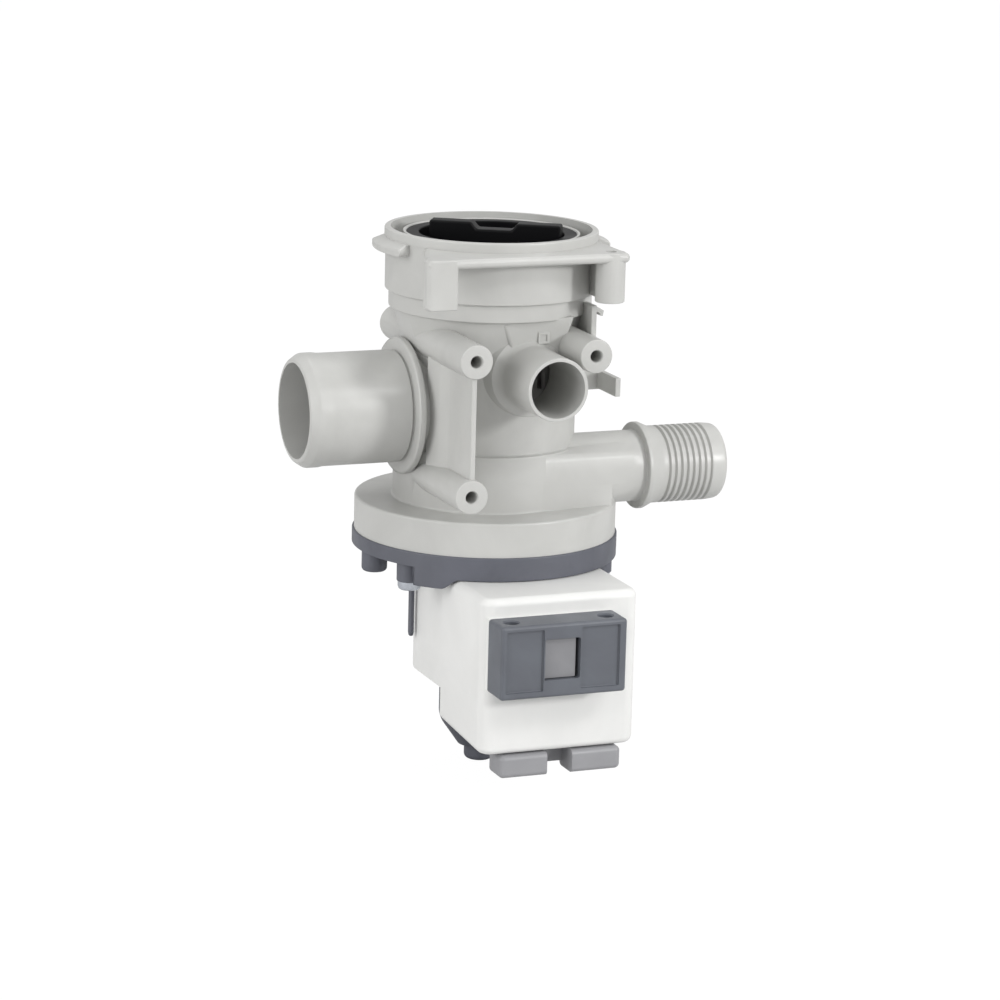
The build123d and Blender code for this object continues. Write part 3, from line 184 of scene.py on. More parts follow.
def rod(start, end, radius, origin=(0, 0, 0), axis=(0, 0, 1), steps=96):
    """Round rod between two distances along the axis."""
    return turned(((start, 0), (start, radius), (end, radius), (end, 0)), origin, axis, steps=steps)


def tube(top, bottom, inner, outer, **spin):
    """Square-edged tube round Z, or a part of its round."""
    return turned(((top, inner), (top, outer), (bottom, outer), (bottom, inner)), **spin)


def prism(points, depth):
    """Flat outline through the points, pushed out along depth."""
    mesh = bmesh.new()
    face = mesh.faces.new([mesh.verts.new(point) for point in points])
    pushed = bmesh.ops.extrude_face_region(mesh, geom=[face])["geom"]
    far_side = [item for item in pushed if isinstance(item, bmesh.types.BMVert)]
    bmesh.ops.translate(mesh, vec=depth, verts=far_side)
    bmesh.ops.recalc_face_normals(mesh, faces=mesh.faces)
    return mesh


def block(left, right, front, back, bottom, top):
    """Block between side, front, back and height limits."""
    mesh = bmesh.new()
    bmesh.ops.create_cube(mesh, size=1)
    bmesh.ops.scale(mesh, vec=(right - left, back - front, top - bottom), verts=mesh.verts)
    middle = ((left + right) / 2, (front + back) / 2, (bottom + top) / 2)
    bmesh.ops.translate(mesh, vec=middle, verts=mesh.verts)
    return mesh


def soften(mesh, offset, segments=3, where=None):
    """Rounds the sharp edges whose middle the test accepts."""
    sharp = []
    for edge in mesh.edges:
        middle = (edge.verts[0].co + edge.verts[1].co) / 2
        if edge.is_manifold and edge.calc_face_angle(0) > sharp_angle and (where is None or where(middle)):
            sharp.append(edge)
    bmesh.ops.bevel(
        mesh,
        geom=sharp,
        offset=offset,
        offset_type="OFFSET",
        segments=segments,
        profile=0.5,
        affect="EDGES",
        material=-1,
        clamp_overlap=False,
    )
    return mesh


def at_ring(*rings):
    """Test for edges that lie on one of the (height, radius) rings round Z."""
    return lambda p: any(abs(p.z - z) < 0.05 and abs(hypot(p.x, p.y) - r) < 0.1 for z, r in rings)


def combined(base, operation, parts):
    """The base solid with the other solids added to it or cut out of it."""
    operands = bpy.data.collections.new("operands")
    bpy.context.scene.collection.children.link(operands)
    objects = []
    for index, mesh in enumerate([base] + parts):
        data = bpy.data.meshes.new("operand")
        mesh.to_mesh(data)
        mesh.free()
        objects.append(bpy.data.objects.new("operand", data))
        home = operands if index else bpy.context.scene.collection
        home.objects.link(objects[-1])
    step = objects[0].modifiers.new("combine", "BOOLEAN")
    step.operation = operation
    step.operand_type = "COLLECTION"
    step.collection = operands
    step.solver = "EXACT"
    depsgraph = bpy.context.evaluated_depsgraph_get()
    result = bmesh.new()
    result.from_mesh(bpy.data.meshes.new_from_object(objects[0].evaluated_get(depsgraph)))
    for piece in objects:
        bpy.data.objects.remove(piece)
    bpy.data.collections.remove(operands)
    bmesh.ops.remove_doubles(result, verts=result.verts, dist=0.002)
    bmesh.ops.dissolve_degenerate(result, edges=result.edges, dist=0.002)
    return result


def place(mesh, name, material, body, slot, *nodes):
    """Makes the millimetre mesh a piece that rides on a body and stands for its CAD nodes."""
    bmesh.ops.scale(mesh, vec=(mm, mm, mm), verts=mesh.verts)
    for face in mesh.faces:
        face.smooth = True
    for edge in mesh.edges:
        edge.smooth = edge.calc_face_angle(0) < sharp_angle
    data = bpy.data.meshes.new(name)
    mesh.to_mesh(data)
    mesh.free()
    data.materials.append(material)
    piece = bpy.data.objects.new(name, data)
    bpy.context.scene.collection.objects.link(piece)
    even = piece.modifiers.new("even normals", "WEIGHTED_NORMAL")
    even.keep_sharp = True
    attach(piece, body)
    if nodes:
        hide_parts(*nodes)
    return piece


# Moulded polypropylene: the grain, drawn at 0.5 mm, breaks up the highlight into a dull satin.
housing_plastic = moulded_plastic("moulded_polypropylene", housing_colours, 0.34, 0.5 * mm, 0.015 * mm)

body_form = turned(
    (
        (0, 0),
        (0, rim_radius),
        (rim_bottom, rim_radius),
        (rim_bottom, collar_radius),
        (collar_bottom, collar_radius),
        (collar_bottom, band_radius),
        (band_bottom, band_radius),
        (band_bottom, shoulder_radius),
        (shoulder_bottom, neck_radius),
        (drum_top, neck_radius),
        (drum_top, drum_radius),
        (disc_top, drum_radius),
        (disc_top, disc_radius),
        (disc_bottom, disc_radius),
        (disc_bottom, 0),
    ),
    steps=round_steps,
)
outer_rings = [(0, rim_radius), (drum_top, drum_radius)]
outer_rings += [(collar_bottom, collar_radius), (band_bottom, band_radius)]
soften(body_form, edge_round, where=at_ring(*outer_rings))
soften(body_form, root_round, where=at_ring((drum_top, neck_radius), (disc_top, drum_radius)))
soften(body_form, disc_round, 5, where=at_ring((disc_top, disc_radius)))

# Two tabs on the collar, with a sloped top
tab_root, tab_reach, tab_bottom = 36.9, 42.3, -7.3
tab_start, tab_sweep = -20, 39
tab_slope = ((-2.9, tab_root), (-3.1, 38.4), (-4.7, tab_reach))
tabs = []
for tab_middle in (0, 180):
    tab = turned(
        (*tab_slope, (tab_bottom, tab_reach), (tab_bottom, tab_root)),
        start=tab_middle + tab_start,
        sweep=tab_sweep,
        steps=16,
    )
    tabs.append(soften(tab, edge_round))

# Shelf in front of the mouth on its two posts
shelf_left, shelf_right, shelf_front = -41.5, 34.0, -46.0
shelf_bottom, shelf_thickness, shelf_round = -6.8, 3.5, 1.6
shelf_root = radians(210)
shelf = prism(
    [
        (0, 0, shelf_bottom),
        (rim_radius * cos(shelf_root), rim_radius * sin(shelf_root), shelf_bottom),
        (shelf_left, shelf_front, shelf_bottom),
        (shelf_right, shelf_front, shelf_bottom),
        (shelf_right, -sqrt(rim_radius**2 - shelf_right**2), shelf_bottom),
    ],
    (0, 0, shelf_thickness),
)
soften(shelf, shelf_round, 5, where=lambda p: p.y < -30)
post_top, post_bottom = -3.35, -21.0
left_post_right, left_post_back, left_post_round = -30.0, -40.5, 2.0
left_post = block(shelf_left, left_post_right, shelf_front, left_post_back, post_bottom, post_top)
soften(left_post, left_post_round, 6, where=lambda p: p.x < shelf_left + 0.5)
soften(left_post, 0.8, where=lambda p: p.x > shelf_left + 0.5)
right_post_x, right_post_y, right_post_radius = 28.5, -41.0, 5.2
right_post_spot = (right_post_x, right_post_y, 0)
right_post = soften(rod(post_bottom, post_top, right_post_radius, right_post_spot, steps=64), 0.5)
post_hole_radius, post_hole_bottom = 2.0, -15.3
web_half_width, web_back, web_top = 1.0, -24.0, -6.0
web_left, web_right = right_post_x - web_half_width, right_post_x + web_half_width
right_web = block(web_left, web_right, right_post_y, web_back, post_bottom, web_top)

# Inlet spigot with its stop ring
inlet_z, inlet_reach, inlet_radius, inlet_bore = -62.7, 73.0, 20.3, 17.0
inlet_chamfer_length, inlet_chamfer_depth = 3.0, 2.0
inlet_land_end, waist_start, waist_end, waist_radius = 66.0, 64.0, 35.6, 20.0
stop_groove_start, stop_groove_radius = 35.4, 19.4
stop_ring_face, stop_ring_back, stop_ring_radius, stop_ring_chamfer = 34.7, 32.2, 24.4, 0.5
inlet_form = soften(
    turned(
        (
            (0, 0),
            (inlet_reach, 0),
            (inlet_reach, inlet_radius - inlet_chamfer_depth),
            (inlet_reach - inlet_chamfer_length, inlet_radius),
            (inlet_land_end, inlet_radius),
            (waist_start, waist_radius),
            (waist_end, waist_radius),
            (stop_groove_start, stop_groove_radius),
            (stop_ring_face, stop_groove_radius),
            (stop_ring_face, stop_ring_radius - stop_ring_chamfer),
            (stop_ring_face - stop_ring_chamfer, stop_ring_radius),
            (stop_ring_back, stop_ring_radius),
            (stop_ring_back, inlet_radius),
            (0, inlet_radius),
        ),
        (0, 0, inlet_z),
        (-1, 0, 0),
    ),
    edge_round,
    where=lambda p: p.x < -30,
)

# Vent spigot, which flares into the neck
vent_x, vent_z, vent_reach, vent_radius, vent_bore = 3.0, -47.9, 58.0, 11.2, 9.95
vent_root_reach, vent_root_radius = 28.0, 16.5
flare_reach, flare_round = 36.0, 4.0
flare = []
for degree in range(0, 80, 13):
    flare_along = flare_reach - flare_round * sin(radians(degree))
    flare.append((flare_along, vent_radius + flare_round - flare_round * cos(radians(degree))))
vent_outline = ((0, 0), (vent_reach, 0), (vent_reach, vent_radius), *flare)
vent_root = ((vent_root_reach, vent_root_radius), (0, vent_root_radius))
vent_form = turned(vent_outline + vent_root, (vent_x, 0, vent_z), (0, -1, 0))
soften(vent_form, 0.35, where=lambda p: p.y < -50)

# Outlet spigot: its root goes from the drum's flattened channel to the round barbed tube, over a smooth foot
outlet_y, outlet_z, outlet_reach, outlet_radius, outlet_bore = -15.0, -86.2, 83.0, 12.9, 10.4
root_start, root_end = 10.0, 48.0
root_half_width, root_half_height = 14.5, 10.25
outlet_root = bmesh.new()
for reach, radius, middle in ((root_start, 17.0, (-17.47, -87.15)), (root_end, 12.6, (outlet_y, outlet_z))):
    ring = bmesh.ops.create_circle(outlet_root, segments=96, radius=radius)["verts"]
    bmesh.ops.rotate(outlet_root, matrix=Matrix.Rotation(pi / 2, 3, "Y"), verts=ring)
    for vert in ring:
        if reach == root_start:
            vert.co.y = max(-root_half_width, min(root_half_width, vert.co.y))
            vert.co.z = max(-root_half_height, min(root_half_height, vert.co.z))
    bmesh.ops.translate(outlet_root, vec=(reach, *middle), verts=ring)
bmesh.ops.bridge_loops(outlet_root, edges=outlet_root.edges)
bmesh.ops.holes_fill(outlet_root, edges=[e for e in outlet_root.edges if e.is_boundary])
bmesh.ops.recalc_face_normals(outlet_root, faces=outlet_root.faces)
foot_outline = ((8, -32.3), (37.2, -28.6), (40.6, -23.6), (42.9, -19), (44.6, -14.5), (20, -5), (8, -20))
foot_sink, foot_height = 0.5, 11.3
outlet_foot = prism([(x, y, disc_top - foot_sink) for x, y in foot_outline], (0, 0, foot_height))
barb_radius, barb_start, barb_pitch, barb_count, groove_radius = 14.0, 58.9, 2.34, 8, 13.1
barb_cone_end, barb_end = 56.6, 78.0
barb = []
for groove in range(barb_count):
    reach = barb_start + groove * barb_pitch
    barb += [(reach, barb_radius), (reach + 0.5, groove_radius)]
    barb += [(reach + 0.9, groove_radius), (reach + 1.4, barb_radius)]
tube_start, outlet_tip_radius = 14.0, 13.5
outlet_ring_face, outlet_ring_back, outlet_ring_radius = 51.2, 52.9, 15.7
outlet_form = turned(
    (
        (tube_start, 0),
        (tube_start, outlet_radius),
        (outlet_ring_face, outlet_radius),
        (outlet_ring_face, outlet_ring_radius),
        (outlet_ring_back, outlet_ring_radius),
        (barb_cone_end, barb_radius),
        *barb,
        (barb_end, barb_radius),
        (outlet_reach, outlet_tip_radius),
        (outlet_reach, 0),
    ),
    (0, outlet_y, outlet_z),
    (1, 0, 0),
)
soften(outlet_form, 0.5, where=lambda p: outlet_ring_face - 1 < p.x < outlet_ring_back + 0.1)
soften(outlet_form, 1.8, 5, where=lambda p: p.x > outlet_reach - 1)

# Screw bosses, which taper towards their faces; the first runs through the neck and out behind
upper_boss_z, lower_boss_z = -38.0, -85.4
boss_holes = (
    (-25.0, upper_boss_z, 18.5),
    (19.5, upper_boss_z, 17.0),
    (-25.7, lower_boss_z, 15.5),
)
boss_face, boss_tail = 52.0, 30.0
boss_radius, boss_root_radius, boss_hole_radius, boss_hole_flare = 6.0, 6.5, 2.1, 0.7
bosses = []
for boss_x, boss_z, depth in boss_holes:
    back = 0 if bosses else -boss_tail
    boss_outline = ((back, 0), (boss_face, 0), (boss_face, boss_radius), (0, boss_root_radius))
    boss = turned((*boss_outline, (back, boss_root_radius)), (boss_x, 0, boss_z), (0, -1, 0), steps=64)
    bosses.append(soften(boss, 0.5, where=lambda p: p.y < -50))
soften(bosses[0], 3.0, 6, where=lambda p: p.y > boss_tail - 1)

# Rib between the two left bosses, and over the vent a sloped pad with a small square frame
rib_left_side = ((-25.9, -50.5), (-26.5, -32), (-28.5, -26), (-30, -18))
rib_outline = ((-24.1, -50.5), *rib_left_side, (-20, -18), (-23.5, -32))
boss_rib = prism([(x, y, lower_boss_z) for x, y in rib_outline], (0, 0, upper_boss_z - lower_boss_z))
soften(boss_rib, 0.4, where=lambda p: p.y < -49)
pad_outline = ((-8.2, -29.3), (18.2, -27), (15.2, -37.1), (13.2, -43.5), (-3, -43.5), (-5.4, -36.5))
pad_back, pad_depth, pad_top, pad_slope = -20.0, 14.2, -27.0, 0.12
pad = prism([(x, pad_back, z) for x, z in pad_outline], (0, -pad_depth, 0))
for vert in pad.verts:
    if vert.co.y < pad_back - 10:
        vert.co.y += pad_slope * (pad_top - vert.co.z)
soften(pad, 1.5, 6, where=lambda p: p.y < -31 and p.x < -4)
soften(pad, 0.5, where=lambda p: p.y < -31 and p.x > 0)
square_left, square_right, square_front, square_back = 5.0, 9.2, -34.0, -32.5
square_bottom, square_top, square_border, square_recess = -36.3, -32.1, 0.9, 0.5
square = block(square_left, square_right, square_front, square_back, square_bottom, square_top)
soften(square, 0.3, where=lambda p: p.y < square_front + 0.5)

# Wire clip: an upper fin with a hook and a lower fin on its web
clip_front, fin_thickness, hook_depth = -34.0, 2.0, 5.0
upper_fin_left, upper_fin_back, upper_fin_bottom, upper_fin_top = 24.9, -18.0, -35.5, -23.5
lower_fin_right, lower_fin_bottom, lower_fin_top = 36.9, -56.6, -49.9
clip_web_left, clip_web_back, clip_web_bottom, clip_web_top = 24.0, -15.5, -57.0, -49.7
hook_tip = ((29.6, -25.4), (29.2, -27.4), (28.2, -27.2), (27.8, -26.1))
hook_outline = ((upper_fin_left, upper_fin_top), (26.2, upper_fin_top), *hook_tip, (upper_fin_left, -25.2))
clip = [
    block(
        upper_fin_left,
        upper_fin_left + fin_thickness,
        clip_front,
        upper_fin_back,
        upper_fin_bottom,
        upper_fin_top,
    ),
    prism([(x, clip_front, z) for x, z in hook_outline], (0, hook_depth, 0)),
    block(
        lower_fin_right - fin_thickness,
        lower_fin_right,
        clip_front,
        clip_web_back,
        lower_fin_bottom,
        lower_fin_top,
    ),
    block(
        clip_web_left,
        lower_fin_right,
        clip_web_back - fin_thickness,
        clip_web_back,
        clip_web_bottom,
        clip_web_top,
    ),
]
for fin in clip:
    soften(fin, 0.25, 2)

housing = combined(
    body_form,
    "UNION",
    tabs
    + [shelf, left_post, right_post, right_web, inlet_form, vent_form, outlet_root, outlet_foot, outlet_form]
    + bosses
    + [boss_rib, pad, square]
    + clip,
)

# Its hollows: the gap round the sleeve with the neck's bore, the chamber, the eye, the disc's groove,
# the three spigots' ways with the outlet's channel, and the holes of pad, post and bosses
throat_radius, throat_end = 8.5, 46.0
channel_start, channel_end, channel_bottom = 15.0, 34.0, -95.5
inlet_end, vent_end = inlet_reach + overrun, vent_reach + overrun
outlet_end = outlet_reach + overrun
bores = [
    turned(
        (
            (overrun, 0),
            (overrun, mouth_radius),
            (mouth_floor, mouth_radius),
            (mouth_floor, neck_radius),
            (sleeve_top, neck_radius),
            (sleeve_top, sleeve_mouth_radius),
            (sleeve_chamfer_bottom, neck_bore),
            (partition_top, neck_bore),
            (partition_top, 0),
        ),
        steps=round_steps,
    ),
    turned(
        (
            (partition_bottom, 0),
            (partition_bottom, drum_bore),
            (seat_level, drum_bore),
            (seat_level, plug_bore),
            (disc_bottom - overrun, plug_bore),
            (disc_bottom - overrun, 0),
        ),
        steps=round_steps,
    ),
    rod(partition_top + overrun, partition_bottom - overrun, eye_radius),
    tube(seat_level, disc_bottom - overrun, disc_groove_inner, disc_groove_outer),
    turned(((0, 0), (inlet_end, 0), (inlet_end, inlet_bore), (0, inlet_bore)), (0, 0, inlet_z), (-1, 0, 0)),
    turned(((0, 0), (vent_end, 0), (vent_end, vent_bore), (0, vent_bore)), (vent_x, 0, vent_z), (0, -1, 0)),
    block(
        channel_start,
        channel_end,
        outlet_y - throat_radius,
        outlet_y + throat_radius,
        channel_bottom,
        partition_bottom - 0.05,
    ),
    block(
        square_left + square_border,
        square_right - square_border,
        square_front - overrun,
        square_front + square_recess,
        square_bottom + square_border,
        square_top - square_border,
    ),
    turned(
        (
            (channel_end - overrun, 0),
            (channel_end - overrun, throat_radius),
            (throat_end, outlet_bore),
            (outlet_end, outlet_bore),
            (outlet_end, 0),
        ),
        (0, outlet_y, outlet_z),
        (1, 0, 0),
    ),
    rod(post_hole_bottom, -2, post_hole_radius, right_post_spot, steps=48),
]
for boss_x, boss_z, depth in boss_holes:
    hole_floor, hole_mouth = boss_face - depth, boss_face + 0.5
    hole = ((hole_floor, 0), (hole_floor, boss_hole_radius), (boss_face - 0.5, boss_hole_radius))
    flared_mouth = ((hole_mouth, boss_hole_radius + boss_hole_flare), (hole_mouth, 0))
    bores.append(turned(hole + flared_mouth, (boss_x, 0, boss_z), (0, -1, 0), steps=48))
housing = combined(housing, "DIFFERENCE", bores)
place(housing, "housing", housing_plastic, "pump_body", "housing_plastic", "pump_housing")

# Filter knob. Black polypropylene cup with a tall grip bar across it, turned by hand to free the filter.
# It screws down inside the mouth's sleeve; the cage under it is moulded in grey polypropylene.
knob_colours, cage_colours = ("0B0B0D", "070709"), ("A4A4A1", "9C9C99")
knob_top, cup_floor, floor_underside, knob_bottom = -1.8, -12.0, -15.0, -21.0
knob_radius, cup_radius, lip_radius = 28.6, 25.8, 30.3
knob_groove_top, knob_groove_bottom, knob_groove_radius = -16.0, -19.0, 25.9
spigot_bottom, spigot_radius, spigot_bore = -25.0, 24.55, 22.05
grip_angle = radians(-31)
grip_half_width, grip_top, grip_dip, grip_foot = 3.5, 2.0, -0.5, -13.0
grip_left, grip_right, dip_left, dip_right, dip_slope = -22.0, 25.0, -7.0, 9.5, 2.0

# Deep satin black; the cage is dull and pale, so that no dark shows through the vent.
knob_plastic = moulded_plastic("black_polypropylene", knob_colours, 0.42, 0.45 * mm, 0.02 * mm, ior=1.25)
cage_plastic = moulded_plastic("grey_polypropylene", cage_colours, 0.42, 0.45 * mm, 0.02 * mm)
cup = turned(
    (
        (cup_floor, 0),
        (cup_floor, cup_radius),
        (knob_top, cup_radius),
        (knob_top, lip_radius - 0.1),
        (knob_top - 0.4, lip_radius),
        (sleeve_chamfer_bottom, knob_radius),
        (knob_groove_top, knob_radius),
        (knob_groove_top, knob_groove_radius),
        (knob_groove_bottom, knob_groove_radius),
        (knob_groove_bottom, knob_radius),
        (knob_bottom, knob_radius),
        (knob_bottom, spigot_radius),
        (spigot_bottom, spigot_radius),
        (spigot_bottom, spigot_bore),
        (floor_underside, spigot_bore),
        (floor_underside, 0),
    ),
    steps=round_steps,
)
soften(cup, 0.6, where=at_ring((knob_top, cup_radius)))
grip_along = Vector((cos(grip_angle), sin(grip_angle), 0))
grip_across = Vector((-sin(grip_angle), cos(grip_angle), 0))
grip_outline = (
    (grip_left, grip_foot),
    (grip_left, grip_top),
    (dip_left, grip_top),
    (dip_left + dip_slope, grip_dip),
    (dip_right - dip_slope, grip_dip),
    (dip_right, grip_top),
    (grip_right, grip_top),
    (grip_right, grip_foot),
)
grip = prism(
    [grip_along * u - grip_across * grip_half_width + Vector((0, 0, z)) for u, z in grip_outline],
    grip_across * 2 * grip_half_width,
)
soften(grip, 0.8, 3)
knob = combined(cup, "UNION", [grip])
place(knob, "filter_knob_grip", knob_plastic, "filter_unit", "knob_plastic", "filter_knob")
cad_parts["filter_cage"].material_slots[0].material = cage_plastic

# Seals. Moulded EPDM rubber: a ring round the knob, a ring between the bracket's plug and the housing,
# each squeezed in its groove, and the cushion, lip seal and bumper pads inside the motor.
rubber_black, bloom_grey, bloom_size = "18181A", "2C2C2E", 3 * mm


def rubber(name, colour):
    """Rubber: nearly black, with the dry bloom that dulls it and a fine dusty grain."""
    material, tree = bare_material(name)
    place_on = add_node(tree, "ShaderNodeTexCoord")
    bloom = add_node(
        tree,
        "ShaderNodeTexNoise",
        {"Vector": (place_on, "Object"), "Scale": 1 / bloom_size, "Detail": 5.0},
    )
    tint = add_node(
        tree,
        "ShaderNodeMix",
        {0: (bloom, 0), 6: linear(colour), 7: linear(bloom_grey)},
        data_type="RGBA",
    )
    bump = add_node(tree, "ShaderNodeBump", {"Height": (bloom, 0), "Distance": 0.02 * mm, "Strength": 0.5})
    shader = add_node(
        tree,
        "ShaderNodeBsdfPrincipled",
        {"Base Color": (tint, 2), "Roughness": 0.75, "IOR": 1.52, "Normal": (bump, 0)},
    )
    add_node(tree, "ShaderNodeOutputMaterial", {"Surface": (shader, 0)})
    return material


seal_rubber = rubber("epdm_rubber", rubber_black)
for name, body, node, height, ring_radius, wire in (
    ("knob_ring", "filter_slide", "filter_seal", -17.5, 27.4, 1.2),
    ("chamber_ring", "pump_body", "chamber_seal", -106.1, 35.35, 1.3),
):
    section = bmesh.new()
    circle = bmesh.ops.create_circle(section, segments=20, radius=wire)["verts"]
    bmesh.ops.rotate(section, matrix=Matrix.Rotation(pi / 2, 3, "X"), verts=circle)
    bmesh.ops.translate(section, vec=(ring_radius, 0, height), verts=circle)
    bmesh.ops.spin(
        section,
        geom=list(section.verts) + list(section.edges),
        cent=(0, 0, 0),
        axis=(0, 0, 1),
        angle=2 * pi,
        steps=round_steps,
        use_merge=True,
    )
    bmesh.ops.remove_doubles(section, verts=section.verts, dist=0.001)
    bmesh.ops.recalc_face_normals(section, faces=section.faces)
    place(section, name, seal_rubber, body, "seal_rubber", node)
for node in ("bearing_cushion", "lip_seal", "dog_bumper"):
    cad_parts[node].material_slots[0].material = seal_rubber

# Motor bracket. Dark grey glass-filled polyamide: its plug closes the pump chamber, its flange carries
# the screw towers and the stator's arms, and its closed can keeps the water round the rotor.
bracket_colours = ("5E6069", "55575F")
flange_bottom, flange_radius = -114.5, 47.8
plug_radius, plug_top, plate_seat, plate_pocket_radius = 36.5, -100.3, -103.3, 17.15
seal_groove_bottom, seal_groove_top, seal_groove_radius = -107.55, -104.65, 33.9
hollow_inner, hollow_outer = 20.2, 31.1
can_radius, can_bore, can_bottom = 15.0, 12.8, -180.0
can_root_top, can_root_radius, can_floor_radius = -117.7, 18.0, 5.8
nose_top, nose_bottom, nose_radius, nose_cone_radius = -190.0, -196.0, 5.5, 8.0
bearing_pocket_top, bearing_pocket_bottom, bearing_pocket_radius = -188.9, -193.4, 4.15

# Glass-filled polyamide: the fibres leave the surface rougher and duller than the housing's.
bracket_plastic = moulded_plastic("glass_filled_polyamide", bracket_colours, 0.46, 0.6 * mm, 0.03 * mm)
bracket = turned(
    (
        (nose_bottom, 0),
        (nose_bottom, nose_radius),
        (nose_top, nose_radius),
        (nose_top, nose_cone_radius),
        (can_bottom, can_radius),
        (can_root_top, can_radius),
        (flange_bottom, can_root_radius),
        (flange_bottom, flange_radius),
        (disc_bottom, flange_radius),
        (disc_bottom, plug_radius),
        (seal_groove_bottom, plug_radius),
        (seal_groove_bottom, seal_groove_radius),
        (seal_groove_top, seal_groove_radius),
        (seal_groove_top, plug_radius),
        (plug_top, plug_radius),
        (plug_top, plate_pocket_radius),
        (plate_seat, plate_pocket_radius),
        (plate_seat, can_bore),
        (can_bottom, can_bore),
        (bearing_pocket_top, can_floor_radius),
        (bearing_pocket_top, bearing_pocket_radius),
        (bearing_pocket_bottom, bearing_pocket_radius),
        (bearing_pocket_bottom, 0),
    ),
    steps=round_steps,
)
soften(bracket, 0.5, 4, where=at_ring((disc_bottom, flange_radius)))
soften(bracket, 1.8, 5, where=at_ring((nose_bottom, nose_radius)))
soften(bracket, 2.5, 6, where=at_ring((can_bottom, can_radius)))
hollow = tube(plate_seat, flange_bottom - overrun, hollow_inner, hollow_outer)
bracket = combined(bracket, "DIFFERENCE", [hollow])

# Ribs in the hollow, and the skirt, whose deeper part rises in a smooth S to the rest
plug_rib_count, rib_half_width, rib_inner, rib_outer, rib_top = 6, 0.8, 19.0, 32.0, -103.0
bracket_parts = []
for count in range(plug_rib_count):
    rib = block(rib_inner, rib_outer, -rib_half_width, rib_half_width, flange_bottom, rib_top)
    turn = Matrix.Rotation(radians(360 / plug_rib_count * count), 3, "Z")
    bmesh.ops.rotate(rib, matrix=turn, verts=rib.verts)
    bracket_parts.append(rib)
skirt_height, deep_skirt_height = 3.3, 6.8
skirt_start, skirt_end, deep_skirt_end = 217, 352, 238.5
skirt_inner, skirt_outer, skirt_overlap = 44.6, flange_radius - 0.05, 1.5
rise_start, rise_sweep = 230, 8
for end, height in ((skirt_end, skirt_height), (deep_skirt_end, deep_skirt_height)):
    skirt = tube(
        flange_bottom + skirt_overlap,
        flange_bottom - height,
        skirt_inner,
        skirt_outer,
        start=skirt_start,
        sweep=end - skirt_start,
        steps=48,
    )
    if height == deep_skirt_height:
        for vert in skirt.verts:
            angle = degrees(atan2(vert.co.y, vert.co.x)) % 360
            rise = min(max((angle - rise_start) / rise_sweep, 0), 1)
            if vert.co.z < flange_bottom - 2:
                vert.co.z += (deep_skirt_height - skirt_height) * rise * rise * (3 - 2 * rise)
    bracket_parts.append(soften(skirt, 0.5, where=lambda p: p.z < flange_bottom - 2))

# Three screw towers and two blind ones, and the two arms that hold the stator
tower_ring, tower_radius = 42.0, 4.6
screw_angles = (90, 210, 330)
arm_side, arm_thickness, arm_back, arm_front = 25.9, 1.4, 4.0, 1.0
arm_bottom, arm_chamfer_top, arm_chamfer = -148.6, -147.4, 0.8


def tower_spot(angle):
    """Place of a tower on the flange."""
    return (tower_ring * cos(radians(angle)), tower_ring * sin(radians(angle)), 0)


for angle, height, tower_round in ((90, 7, 0.4), (210, 7, 0.4), (330, 8.6, 0.2), (0, 8, 1.4), (180, 8, 1.4)):
    tower = rod(flange_bottom - height, flange_bottom + 1, tower_radius, tower_spot(angle), steps=48)
    bracket_parts.append(soften(tower, tower_round, 4, where=lambda p: p.z < flange_bottom - 6))
for side in (-1, 1):
    arm_outline = (
        (arm_front, flange_bottom + 1),
        (arm_back, flange_bottom + 1),
        (arm_back, arm_chamfer_top),
        (arm_back - arm_chamfer, arm_bottom),
        (arm_front + arm_chamfer, arm_bottom),
        (arm_front, arm_chamfer_top),
    )
    arm = prism([(side * arm_side, y, z) for y, z in arm_outline], (side * arm_thickness, 0, 0))
    bracket_parts.append(soften(arm, 0.4))
bracket = combined(bracket, "UNION", bracket_parts)
head_seat, head_hole_bottom, head_hole_radius = -121.5, -125.0, 4.25
screw_hole_radius, screw_hole_top = 2.2, -108.0
screw_hole = (
    (head_hole_bottom, 0),
    (head_hole_bottom, head_hole_radius),
    (head_seat, head_hole_radius),
    (head_seat, screw_hole_radius),
    (screw_hole_top, screw_hole_radius),
    (screw_hole_top, 0),
)
screw_holes = [turned(screw_hole, tower_spot(angle), steps=48) for angle in screw_angles]
bracket = combined(bracket, "DIFFERENCE", screw_holes)
place(bracket, "bracket", bracket_plastic, "pump_body", "bracket_plastic", "motor_bracket")

# Flange screws. Thread-forming screws of zinc-plated steel, rolled, with a rounded head and a six-lobed
# recess, driven up from below through the towers into the housing's bosses.
screw_tip, shank_top, head_bottom, head_radius = -98.0, -116.0, -124.5, 4.2
thread_start, thread_pitch, thread_turns, thread_root, thread_crest = -115.0, 1.6, 11, 1.4, 1.9
recess_lobes, recess_steps, recess_radius, recess_lobe_share = 6, 24, 1.6, 0.16
recess_bottom, recess_height = -125.7, 3.0


